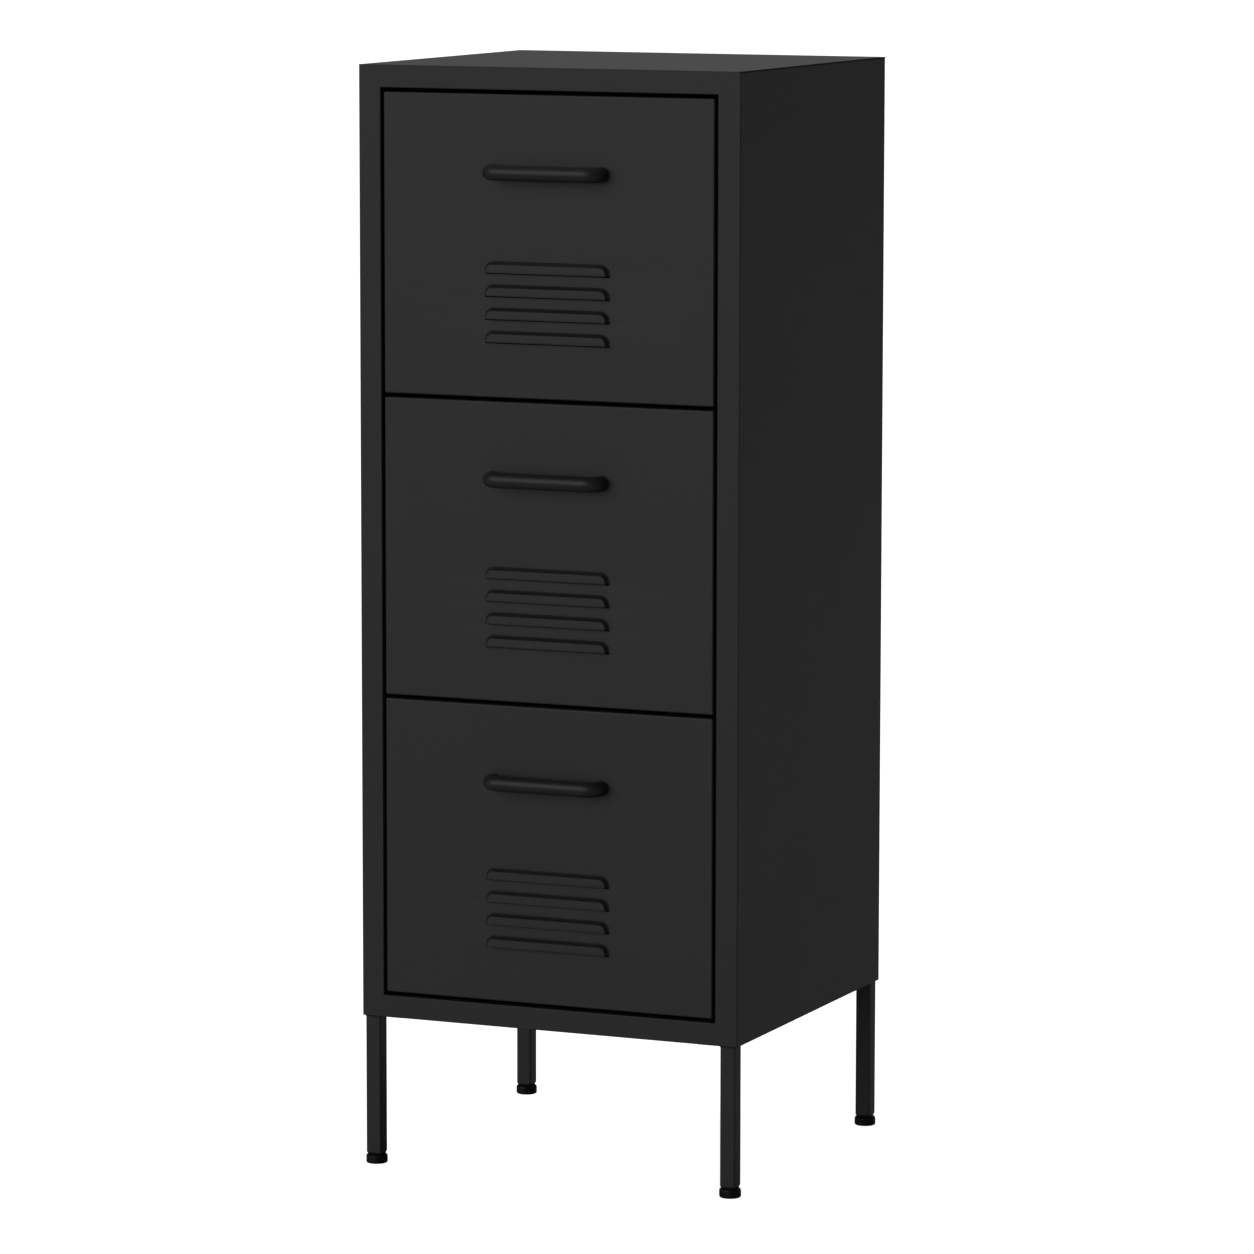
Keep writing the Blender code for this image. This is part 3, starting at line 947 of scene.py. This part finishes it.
@dataclass
class FrontFrame(Assembly):
    """The flush welded ring around the drawers, with a return folded back around its opening."""

    stile: float = 0.022
    rail: float = 0.021
    sheet: float = 0.001
    fold: float = 0.0012
    edge: float = 0.0007
    steps: int = 4

    def build(self) -> None:
        """Carries the frame's section round its four mitred corners.

        A section point is counted inwards from the outer edge or from the opening's edge, so the stiles and
        rails can differ in width; at a corner both of its coordinates move in together.
        """
        box = Box.of("front_frame")
        depth = box.size[1]
        edge = arc((self.edge, self.edge), self.edge, 180, 270, self.steps)
        face = arc((-self.fold, self.fold), self.fold, -90, 0, self.steps)
        inner = arc((-self.fold, self.fold), self.fold - self.sheet, 0, -90, self.steps)
        outer = np.vstack([[(0, self.sheet)], edge])
        opening = np.vstack([face, [(0, depth), (-self.sheet, depth)], inner])
        inward, back = np.vstack([outer, opening]).T
        at_opening = np.repeat([0.0, 1.0], [len(outer), len(opening)])
        reach = np.stack([at_opening * self.stile + inward, at_opening * self.rail + inward], axis=1)
        signs = np.array([[-1, -1], [1, -1], [1, 1], [-1, 1]])
        half, middle = box.size[[0, 2]] / 2, box.centre[[0, 2]]
        plane = middle + signs[:, None] * (half - reach)
        skin = Skin().grid(lay(Axis.Y, plane, box.low[1] + back), wrap_rows=True, wrap_columns=True)
        self.shop.piece("front_frame_ring", skin, Finish.POWDER, "casing", "front_frame")


@dataclass
class Panels(Assembly):
    """Sides, top, bottom and back of the casing."""

    sheet: float = 0.001
    fold: float = 0.0015
    rear_flange: float = 0.015
    flange_gap: float = 0.0005
    flange_start: float = 0.0013
    steps: int = 5

    def build(self) -> None:
        """Makes the five panels."""
        for side in Side:
            self._side(side)
        self._top()
        self._bottom()
        self._back()

    def _side(self, side: Side) -> None:
        """A flat side whose back edge is folded in.

        Args:
            side: The side of the chest.
        """
        name = f"{side.word}_side_panel"
        box = Box.of(name)
        outer, front, rear = box.outer(side), box.low[1], box.high[1]
        corners = [(outer, front), (outer, rear), (outer - side.value * self.rear_flange, rear)]
        path = filleted(corners, self.fold, self.steps)
        skin = folded(path, side.value * self.sheet, Axis.Z, box)
        self.shop.piece(f"{name}_sheet", skin, Finish.POWDER, "casing", name)

    def _top(self) -> None:
        """A flat top folded down at the front and the back; its flanges are cut short at their ends."""
        box = Box.of("top_panel")
        low, high = box.low, box.high
        corners = [(low[1], low[2]), (low[1], high[2]), (high[1], high[2]), (high[1], low[2])]
        path = filleted(corners, self.fold, self.steps)
        half = box.size[0] / 2
        front_half = Box.of("back_panel").high[0]
        rear_half = half - self.rear_flange - self.flange_gap

        def trim(points: Array) -> tuple[Array, Array]:
            """The ends of the sheet: full width on top and round each fold, the flange's width below it.

            Args:
                points: The path's points.

            Returns:
                The lower and the upper end at each point.
            """
            narrow = np.where(points[:, 0] < 0, front_half, rear_half)
            reach = np.where(points[:, 1] > high[2] - self.flange_start, half, narrow)
            return -reach, reach

        skin = folded(path, -self.sheet, Axis.X, box, trim)
        self.shop.piece("top_sheet", skin, Finish.POWDER, "casing", "top_panel")

    def _bottom(self) -> None:
        """A shallow pan, open upwards."""
        box = Box.of("bottom_panel")
        rim = Rim(box.low[:2], box.high[:2], self.fold, box.size[2])
        skin = Skin().flat(lay(Axis.Z, rim.flat_outline(), box.low[2])).grid(rim.grid(Axis.Z, box.low[2]))
        self.shop.piece("bottom_pan", skin, Finish.POWDER, "casing", "bottom_panel", self.sheet)

    def _back(self) -> None:
        """A flat back folded forward under the top."""
        box = Box.of("back_panel")
        low, high = box.low, box.high
        path = filleted([(high[1], low[2]), (high[1], high[2]), (low[1], high[2])], self.fold, self.steps)
        skin = folded(path, self.sheet, Axis.X, box)
        self.shop.piece("back_sheet", skin, Finish.POWDER, "casing", "back_panel")


@dataclass
class Uprights(Assembly):
    """The channels inside the casing that carry the runners."""

    sheet: float = 0.001
    fold: float = 0.0015

    def build(self) -> None:
        """Folds each channel, open towards its side panel."""
        for row, side in CORNERS:
            name = f"{side.word}_{row.word}_upright"
            box = Box.of(name)
            outer, inner, front, rear = box.outer(side), box.inner(side), box.low[1], box.high[1]
            path = filleted([(outer, front), (inner, front), (inner, rear), (outer, rear)], self.fold)
            skin = folded(path, -side.value * self.sheet, Axis.Z, box)
            self.shop.piece(f"{name}_channel", skin, Finish.POWDER, "casing", name)


# ---- Legs and feet ----


@dataclass
class Leg(Assembly):
    """A square tube welded under a plate, which is screwed to the bottom, with its plug and its foot."""

    corner: str
    tube: float = 0.015
    wall: float = 0.0012
    tube_corner: float = 0.0014
    bore_corner: float = 0.0006
    plate: float = 0.0028
    plate_corner: float = 0.003
    lip: float = 0.0002
    bead: float = 0.0009
    bead_pitch: float = 0.0016
    bead_swell: float = 0.125
    bead_sink: float = 0.0003
    bead_points: int = 160
    bead_steps: int = 5

    def build(self) -> None:
        """The tube is a ring of two rounded squares, and two screws stand on the plate's inner edges."""
        name = f"{self.corner}_leg"
        box = Box.of(name)
        centre, middle = Box.of(f"{self.corner}_foot").upright(), box.upright()
        low, high = box.low[2], box.high[2]
        under = high - self.plate
        outer = rounded_square(self.tube / 2, self.tube_corner)
        inner = rounded_square(self.tube / 2 - self.wall, self.bore_corner)
        eased = outer * (1 - 2 * self.lip / self.tube)
        tube = [(eased, low), (outer, low + self.lip), (outer, under), (inner, under), (inner, low)]
        outline = rounded_square(box.size[0] / 2, self.plate_corner)
        eased = outline * (1 - 2 * self.lip / box.size[0])
        plate = [(eased, under), (outline, under + self.lip), (outline, high - self.lip), (eased, high)]
        skin = loft(tube, Axis.Z, centre, loop=True).join(loft(plate, Axis.Z, middle))
        self.shop.piece(f"{name}_tube", skin, Finish.POWDER, "casing", name)
        inner_x, inner_y = 2 * middle[:2] - centre[:2]
        screws = heads(HexHead(), Axis.Z, -1.0, [(inner_x, inner_y, under), (centre[0], inner_y, under)])
        self.shop.piece(f"{name}_screws", screws, Finish.ZINC, "casing")
        self.shop.piece(f"{name}_weld", self._weld(centre, under), Finish.POWDER, "casing")
        Plug(self.shop, f"{name}_plug").build()
        Foot(self.shop, f"{self.corner}_foot").build()

    def _weld(self, centre: Array, under: float) -> Skin:
        """A quarter-round bead round the tube, whose radius swells and shrinks along its run s.

        The radius is r (1 + swell sin(2 pi s / pitch)).

        Args:
            centre: The tube's middle line.
            under: Height of the plate's underside.

        Returns:
            The closed bead.
        """
        square = rounded_square(self.tube / 2, self.tube_corner, 1)
        ring = np.vstack([square, square[:1]])
        run = np.concatenate([[0.0], np.cumsum(np.linalg.norm(np.diff(ring, axis=0), axis=1))])
        along = np.linspace(0, run[-1], self.bead_points, endpoint=False)
        base = np.stack([np.interp(along, run, ring[:, 0]), np.interp(along, run, ring[:, 1])], axis=1)
        radius = self.bead * (1 + self.bead_swell * np.sin(2 * np.pi * along / self.bead_pitch))
        bead = radius[:, None, None] * ray(np.radians(np.linspace(0, 90, self.bead_steps + 1)))
        root = np.full((self.bead_points, 1, 2), -self.bead_sink)
        out, down = np.moveaxis(np.concatenate([bead, root], axis=1), -1, 0)
        plane = base[:, None] + unit(base)[:, None] * out[..., None]
        return Skin().grid(lay(Axis.Z, plane, under - down) + centre, wrap_rows=True, wrap_columns=True)


@dataclass
class Plug(Assembly):
    """The plug in a leg's end: a square head that thins to a body inside the tube, round a bore."""

    name: str
    head: float = 0.0138
    head_corner: float = 0.0016
    head_height: float = 0.0012
    head_taper: float = 0.96
    chamfer: float = 0.0003
    body: float = 0.012
    body_corner: float = 0.0008
    tip: float = 0.002
    tip_taper: float = 0.93
    bore: float = 0.0044

    def build(self) -> None:
        """Goes through the plug's outlines from bottom to top, and back down its bore."""
        box = Box.of(self.name)
        low, high = box.low[2], box.high[2]
        head = rounded_square(self.head / 2, self.head_corner)
        body = rounded_square(self.body / 2, self.body_corner)
        bore = unit(head) * self.bore
        under = low + self.head_height
        stations = [
            (bore, low), (self.head_taper * head, low), (head, low + self.chamfer), (head, under),
            (body, under), (body, high - self.tip), (self.tip_taper * body, high), (bore, high),
        ]
        skin = loft(stations, Axis.Z, box.upright(), loop=True)
        self.shop.piece(f"{self.name}_moulding", skin, Finish.PLASTIC, "casing", self.name)


@dataclass
class Foot(Assembly):
    """A levelling foot: a disc with a hollow sole, on a threaded stud."""

    name: str
    disc_height: float = 0.0087
    shoulder: float = 0.0025
    toe: float = 0.0016
    sole_rim: float = 0.0034
    sole_slope: float = 0.0006
    sole_depth: float = 0.0008
    stud: float = 0.004
    stud_root: float = 0.0005
    tip: float = 0.001
    tip_taper: float = 0.0008
    thread_pitch: float = 0.00125
    thread_depth: float = 0.0005
    bend_steps: int = 6
    toe_steps: int = 5
    disc_steps: int = 48
    stud_steps: int = 24
    stud_rings: int = 170

    def build(self) -> None:
        """Turns the disc; the stud's radius follows its thread, a wave in height / pitch - a / (2 pi)."""
        box = Box.of(self.name)
        centre, top, disc = box.upright(box.low[2]), box.size[2], box.size[:2].min() / 2
        bend = (disc - self.shoulder, self.disc_height - self.shoulder)
        rise = arc(bend, self.shoulder, 90, 0, self.bend_steps)
        toe = arc((disc - self.toe, self.toe), self.toe, 0, -90, self.toe_steps)
        rim = disc - self.sole_rim
        sole = [(rim, 0.0), (rim - self.sole_slope, self.sole_depth), (0.0, self.sole_depth)]
        profile = np.vstack([[(0.0, self.disc_height)], rise, toe, sole])
        skin = turned(profile, Axis.Z, centre, self.disc_steps)
        angle = turn(self.stud_steps)
        height = np.linspace(self.disc_height - self.stud_root, top, self.stud_rings)[:, None]
        wave = np.abs(np.mod(height / self.thread_pitch - angle / (2 * np.pi), 1.0) * 2 - 1)
        near_tip = 1 - np.clip((top - height) / self.tip, 0, 1)
        radius = self.stud - self.thread_depth * np.maximum(wave, near_tip) - self.tip_taper * near_tip
        rings = lay(Axis.Z, radius[..., None] * ray(angle), height) + centre
        skin.join(Skin().grid(rings, wrap_columns=True).flat(rings[0]).flat(rings[-1]))
        self.shop.piece(f"{self.name}_moulding", skin, Finish.PLASTIC, self.name, self.name)


# ---- Drawers ----


@dataclass
class DrawerFront(Assembly):
    """A folded pan with four pressed louvres and an open slit under each."""

    drawer: str
    sheet: float = 0.001
    fold: float = 0.0015
    lip: float = 0.011
    louvres: int = 4
    first: float = 0.1535
    pitch: float = 0.0212
    width: float = 0.123
    height: float = 0.0097
    rise: float = 0.005
    slope: float = 0.0022
    corner: float = 0.008
    coin: float = 0.0009
    coin_depth: float = 0.0004
    slot: float = 0.0013
    steps: int = 8

    def build(self) -> None:
        """Makes the flat bands, which stop at the louvres' lip lines, the louvres and the folded rim."""
        name = f"{self.drawer}_front"
        box = Box.of(name)
        face = box.low[1] + self.rise
        low, high = box.low[[0, 2]], box.high[[0, 2]]
        lips = [high[1] - self.first - self.height - index * self.pitch for index in range(self.louvres)]
        levels = [low[1] + self.fold, *reversed(lips), high[1] - self.fold]
        rim = Rim(low, high, self.fold, box.high[1] - face, self.lip, stations=tuple(lips))
        skin = Skin().grid(rim.grid(Axis.Y, face))
        for index, (lower, upper) in enumerate(zip(levels, levels[1:])):
            skin.join(self._band(face, high[0] - self.fold, lower, upper, index > 0, index < self.louvres))
        self.shop.piece(f"{name}_pan", skin, Finish.FRONT, self.drawer, name, self.sheet)

    def _band(
        self, face: float, edge: float, lower: float, upper: float, louvred: bool, slit: bool
    ) -> Skin:
        """One flat band across the front, with a louvre standing on its lower edge.

        The louvre's wall is a grid of its outline by the share of the slope: a shallow coined groove
        outside the outline, then the S-shaped rise, then the flat top. Under a lip the band is cut back by
        the slot.

        Args:
            face: Y of the flat face.
            edge: Half the width of the flat face.
            lower: Height of the band's lower edge.
            upper: Height of its upper edge.
            louvred: True if a louvre stands on the lower edge.
            slit: True if the next louvre's lip is on the upper edge.

        Returns:
            The band's open skin.
        """
        half = self.width / 2
        cut, below = half + self.coin, upper - self.slot
        top = [(-cut, upper), (-cut, below), (cut, below), (cut, upper)] if slit else []
        outer = [(-edge, lower), (-edge, upper), *top, (edge, upper), (edge, lower)]
        sides = lay(Axis.Y, np.array(outer), face)
        if not louvred:
            return Skin().flat(sides)
        reach, shoulder = half - self.corner, self.height - self.corner
        left = arc((-reach, shoulder), self.corner, 180, 90, self.steps)
        right = arc((reach, shoulder), self.corner, 90, 0, self.steps)
        outline = np.vstack([[(-half, 0)], left, right, [(half, 0)]])
        quarter = np.linspace(0, 90, self.steps + 1)
        inward = -ray(np.radians(np.concatenate([[180], 180 - quarter, 90 - quarter, [0]])))
        run = np.concatenate([[-self.coin, -self.coin / 2], np.linspace(0, self.slope, self.steps + 1)])
        groove = self.coin_depth * np.clip(1 - np.abs(2 * run / self.coin + 1), 0, 1)
        plane = outline[:, None] + inward[:, None] * run[:, None] + (0, lower)
        wall = lay(Axis.Y, plane, face - self.rise * ease(run / self.slope) + groove)
        return Skin().grid(wall).flat(wall[:, -1]).flat(np.vstack([sides, wall[::-1, 0]]))


@dataclass
class Handle(Assembly):
    """A bent round bar on two screws from behind."""

    drawer: str
    radius: float = 0.007
    bend: float = 0.011
    gap: float = 0.0003
    front_sheet: float = 0.001
    steps: int = 14
    around: int = 36

    def build(self) -> None:
        """Carries a circle along the bar's line, P(s) + r (N cos a + Z sin a), and adds the screws."""
        name = f"{self.drawer}_handle"
        box = Box.of(name)
        back, line = box.high[1], box.low[1] + self.radius
        reach, height = box.size[0] / 2 - self.radius, box.centre[2]
        corners = [(-reach, back), (-reach, line), (reach, line), (reach, back)]
        path = filleted(corners, self.bend, self.steps)
        flank = unit(left_of(path, 1.0) - path)
        across, upwards = self.radius * ray(turn(self.around)).T
        plane = path[:, None] + across[:, None] * flank[:, None]
        rings = lay(Axis.Z, plane, height + upwards)
        skin = Skin().grid(rings, wrap_columns=True).flat(rings[0]).flat(rings[-1])
        self.shop.piece(f"{name}_bar", skin, Finish.HANDLE, self.drawer, name)
        seat = back + self.gap + self.front_sheet
        screws = heads(PanHead(), Axis.Y, 1.0, [(-reach, seat, height), (reach, seat, height)])
        self.shop.piece(f"{name}_screws", screws, Finish.ZINC, self.drawer)


@dataclass
class Tray(Assembly):
    """A drawer's base and sides, folded from one sheet with hemmed tops, and the back welded into it."""

    drawer: str
    sheet: float = 0.0008
    fold: float = 0.0015
    hem: float = 0.009
    hem_gap: float = 0.0002
    hem_steps: int = 4

    def build(self) -> None:
        """Folds the tray across its width, and the back with its two flanges."""
        name = f"{self.drawer}_tray"
        box = Box.of(name)
        (left, _, low), (right, _, high) = box.low, box.high
        bend = self.hem_gap / 2
        rolled = high - self.sheet - bend
        path = filleted([(left, rolled), (left, low), (right, low), (right, rolled)], self.fold)
        path = np.vstack([
            [(left - self.hem_gap, high - self.hem)],
            arc((left - bend, rolled), bend, 180, 0, self.hem_steps),
            path[1:-1],
            arc((right + bend, rolled), bend, 180, 0, self.hem_steps),
            [(right + self.hem_gap, high - self.hem)],
        ])
        skin = folded(path, self.sheet, Axis.Y, box)
        self.shop.piece(f"{name}_sheet", skin, Finish.POWDER, self.drawer, name)
        name = f"{self.drawer}_back"
        box = Box.of(name)
        (left, front, _), (right, rear, _) = box.low, box.high
        path = filleted([(left, front), (left, rear), (right, rear), (right, front)], self.fold)
        skin = folded(path, -self.sheet, Axis.Z, box)
        self.shop.piece(f"{name}_sheet", skin, Finish.POWDER, self.drawer, name)


@dataclass
class Roller(Assembly):
    """A nylon roller with a crowned tread and dished sides."""

    name: str
    radius: float = 0.0085
    bore: float = 0.0028
    chamfer: float = 0.0008
    tread_rim: float = 0.00192
    hub: float = 0.0014
    dish: float = 0.0009
    dish_slope: float = 0.0004
    crown: float = 0.00015
    tread_points: int = 7
    around: int = 40

    def build(self) -> None:
        """Turns a closed section: tread, rounded edges, a dished web and the hub at the bore."""
        box = Box.of(self.name)
        half = box.size[0] / 2
        tread = np.linspace(-1, 1, self.tread_points)
        top = np.stack([self.radius - self.crown * tread**2, tread * (half - self.chamfer)], axis=1)
        rim, hub, web = self.radius - self.tread_rim, self.bore + self.hub, half - self.dish
        side = np.array([
            (self.radius - self.chamfer, half), (rim, half), (rim - self.dish_slope, web),
            (hub + self.dish_slope, web), (hub, half), (self.bore, half),
        ])
        profile = np.vstack([top, side, side[::-1] * (1, -1)])
        skin = turned(profile, Axis.X, box.centre, self.around, loop=True)
        self.shop.piece(f"{self.name}_wheel", skin, Finish.NYLON, self.name, self.name)


@dataclass
class Runner(Assembly):
    """One side's pair of rails, each with a riveted axle for its roller."""

    drawer: str
    side: Side
    sheet: float = 0.001
    fold: float = 0.0012
    axle: float = 0.0025
    head: float = 0.0038
    head_height: float = 0.0009
    head_chamfer: float = 0.0003
    roller_gap: float = 0.0003
    casing_flange: float = 0.012
    casing_lip: float = 0.008
    drawer_leg: float = 0.0115
    drawer_flange: float = 0.0088
    screw: PanHead = PanHead(height=0.0016)
    screw_inset: float = 0.020

    def build(self) -> None:
        """Makes the casing's rail, the drawer's rail and both rollers of one side."""
        name = f"{self.drawer}_{self.side.word}"
        self._casing_rail(f"{name}_casing")
        self._drawer_rail(f"{name}_drawer")
        for where in ("casing", "drawer"):
            Roller(self.shop, f"{name}_{where}_roller").build()

    def _axle(self, roller: str, root: float, way: float) -> Skin:
        """A pin from the rail's web to a wider flat head beyond the roller.

        Args:
            roller: The roller that turns on it.
            root: X of the web's face.
            way: 1 if the pin runs up the X axis, -1 if down.

        Returns:
            The closed skin.
        """
        box = Box.of(roller)
        head = box.centre[0] + way * (box.size[0] / 2 + self.roller_gap + self.head_height)
        under, sunk = head - way * self.head_height, root - way * self.sheet / 2
        profile = np.array([
            (0, sunk), (self.axle, sunk), (self.axle, under), (self.head, under),
            (self.head, head - way * self.head_chamfer), (self.head - self.head_chamfer, head), (0, head),
        ])
        return turned(profile, Axis.X, box.centre * (0, 1, 1))

    def _casing_rail(self, name: str) -> None:
        """A C rail on the uprights with screws through its web, and its roller's axle at the front.

        Args:
            name: What the names of the rail and of its roller begin with.
        """
        box, sign = Box.of(f"{name}_rail"), self.side.value
        web, low, high = box.outer(self.side), box.low[2], box.high[2]
        flange, lip = web - sign * self.casing_flange, web - sign * self.casing_lip
        path = filleted([(flange, low), (web, low), (web, high), (lip, high)], self.fold)
        skin = folded(path, sign * self.sheet, Axis.Y, box)
        seat, height = web - sign * self.sheet, (low + high) / 2
        skin.join(self._axle(f"{name}_roller", seat, -sign))
        self.shop.piece(f"{name}_rail_section", skin, Finish.ZINC, "casing", f"{name}_rail")
        places = (box.low[1] + self.screw_inset, box.high[1] - self.screw_inset)
        screws = heads(self.screw, Axis.X, -sign, [(seat, place, height) for place in places])
        self.shop.piece(f"{name}_rail_screws", screws, Finish.ZINC, "casing")

    def _drawer_rail(self, name: str) -> None:
        """A Z rail under and beside the tray, with its roller's axle at the back.

        Args:
            name: What the names of the rail and of its roller begin with.
        """
        box, sign = Box.of(f"{name}_rail"), self.side.value
        inner, low, high = box.inner(self.side), box.low[2], box.high[2] - self.sheet
        web = inner + sign * self.drawer_leg
        flange = web + sign * self.drawer_flange
        path = filleted([(inner, low), (web, low), (web, high), (flange, high)], self.fold)
        skin = folded(path, sign * self.sheet, Axis.Y, box)
        skin.join(self._axle(f"{name}_roller", web, sign))
        self.shop.piece(f"{name}_rail_section", skin, Finish.ZINC, self.drawer, f"{name}_rail")


@dataclass
class Drawer(Assembly):
    """One drawer with everything that slides with it, and its rails in the casing."""

    number: int

    def build(self) -> None:
        """Makes the front, the handle, the tray and both pairs of rails."""
        name = f"drawer_{self.number}"
        for part in (DrawerFront, Handle, Tray):
            part(self.shop, name).build()
        for side in Side:
            Runner(self.shop, name, side).build()


# ---- Studio ----


@dataclass(frozen=True)
class SoftLight:
    """A very soft light from far away, so that it falls evenly over the whole chest."""

    name: str
    origin: Triple
    spread: float
    strength: float
    reflected: bool = True

    def build(self) -> None:
        """Shines from its origin's direction; spread is how wide it looks, in degrees."""
        lamp = bpy.data.lights.new(self.name, "SUN")
        lamp.angle = math.radians(self.spread)
        lamp.energy = self.strength
        made = bpy.data.objects.new(self.name, lamp)
        made.location = self.origin
        made.rotation_euler = Vector(self.origin).to_track_quat("Z", "Y").to_euler()
        made.visible_glossy = self.reflected
        bpy.context.scene.collection.objects.link(made)


LIGHTS = (
    SoftLight("front_light", (-1.6, -3.4, 1.05), spread=60.0, strength=1.16),
    SoftLight("rear_light", (-1.6, 3.6, 1.0), spread=50.0, strength=0.12),
    SoftLight("top_fill", (-0.1, 0.2, 3.0), spread=15.0, strength=2.0, reflected=False),
    SoftLight("back_fill", (-1.7, 3.4, 0.6), spread=30.0, strength=1.7, reflected=False),
)


@dataclass(frozen=True)
class Studio:
    """Camera, pale floor, white surroundings and soft lights."""

    lens: float = 175.9
    sensor: float = 36.0
    yaw: float = 23.493
    pitch: float = 7.679
    roll: float = 0.080
    right: float = 2.291
    away: float = 5.087
    eye: float = 1.2723
    floor_half: float = 60.0
    floor_colour: float = 0.235
    floor_glow: float = 0.97
    floor_roughness: float = 0.9
    surroundings: float = 0.083

    def build(self) -> None:
        """Sets up everything round the chest."""
        self._camera()
        self._floor()
        self._world()
        for light in LIGHTS:
            light.build()
        bpy.context.scene.view_settings.view_transform = "Standard"

    def _camera(self) -> None:
        """Turns the camera by yaw, pitch and roll, at its distance from the front's middle."""
        yaw, pitch, roll = (math.radians(angle) for angle in (self.yaw, self.pitch, self.roll))
        flat = math.cos(pitch)
        ahead = Vector((-math.sin(yaw) * flat, math.cos(yaw) * flat, -math.sin(pitch)))
        level = Vector((math.cos(yaw), math.sin(yaw), 0))
        up = level.cross(ahead)
        across = math.cos(roll) * level + math.sin(roll) * up
        upright = math.cos(roll) * up - math.sin(roll) * level
        data = bpy.data.cameras.new("camera")
        data.lens = self.lens
        data.sensor_width = self.sensor
        data.clip_end = 4 * self.floor_half
        camera = bpy.data.objects.new("camera", data)
        front = Box.of("front_frame").low[1]
        facing = Matrix((across, upright, -ahead)).transposed().to_4x4()
        camera.matrix_world = Matrix.Translation((self.right, front - self.away, self.eye)) @ facing
        bpy.context.scene.collection.objects.link(camera)
        bpy.context.scene.camera = camera

    def _floor(self) -> None:
        """A pale floor that glows where it is seen directly, so it is nearly white with faint shadows."""
        marks = np.linspace(-self.floor_half, self.floor_half, 3)
        x, y = np.meshgrid(marks, marks, indexing="ij")
        skin = Skin().grid(np.stack([x, y, np.zeros_like(x)], axis=-1))
        shader = Shader("pale_floor")
        seen = shader.node("ShaderNodeLightPath", {}, {}, "Is Camera Ray")
        mesh = skin.mesh("floor", faced=False)
        mesh.materials.append(shader.finish({
            "Base Color": (*(self.floor_colour,) * 3, 1.0),
            "Roughness": self.floor_roughness,
            "Emission Color": shader.blend(seen, (0.0, 0.0, 0.0), (1.0, 1.0, 1.0)),
            "Emission Strength": self.floor_glow,
        }))
        floor = bpy.data.objects.new("floor", mesh)
        bpy.context.scene.collection.objects.link(floor)

    def _world(self) -> None:
        """White where it is seen directly, and dimmer where it lights and is reflected."""
        world = bpy.data.worlds.new("surroundings")
        world.use_nodes = True
        tree = world.node_tree
        back = tree.nodes["Background"]
        back.inputs["Color"].default_value = (1.0, 1.0, 1.0, 1.0)
        path = tree.nodes.new("ShaderNodeLightPath")
        level = tree.nodes.new("ShaderNodeMapRange")
        level.inputs["To Min"].default_value = self.surroundings
        level.inputs["To Max"].default_value = 1.0
        tree.links.new(path.outputs["Is Camera Ray"], level.inputs["Value"])
        tree.links.new(level.outputs["Result"], back.inputs["Strength"])
        bpy.context.scene.world = world


def main() -> None:
    """Builds the chest and the studio round it."""
    logging.basicConfig(level=logging.INFO, format="%(message)s")
    shop = Workshop()
    for part in (FrontFrame, Panels, Uprights):
        part(shop).build()
    for row, side in CORNERS:
        Leg(shop, f"{row.word}_{side.word}").build()
    for number in DRAWERS:
        Drawer(shop, number).build()
    Studio().build()


if __name__ == "__main__":
    main()
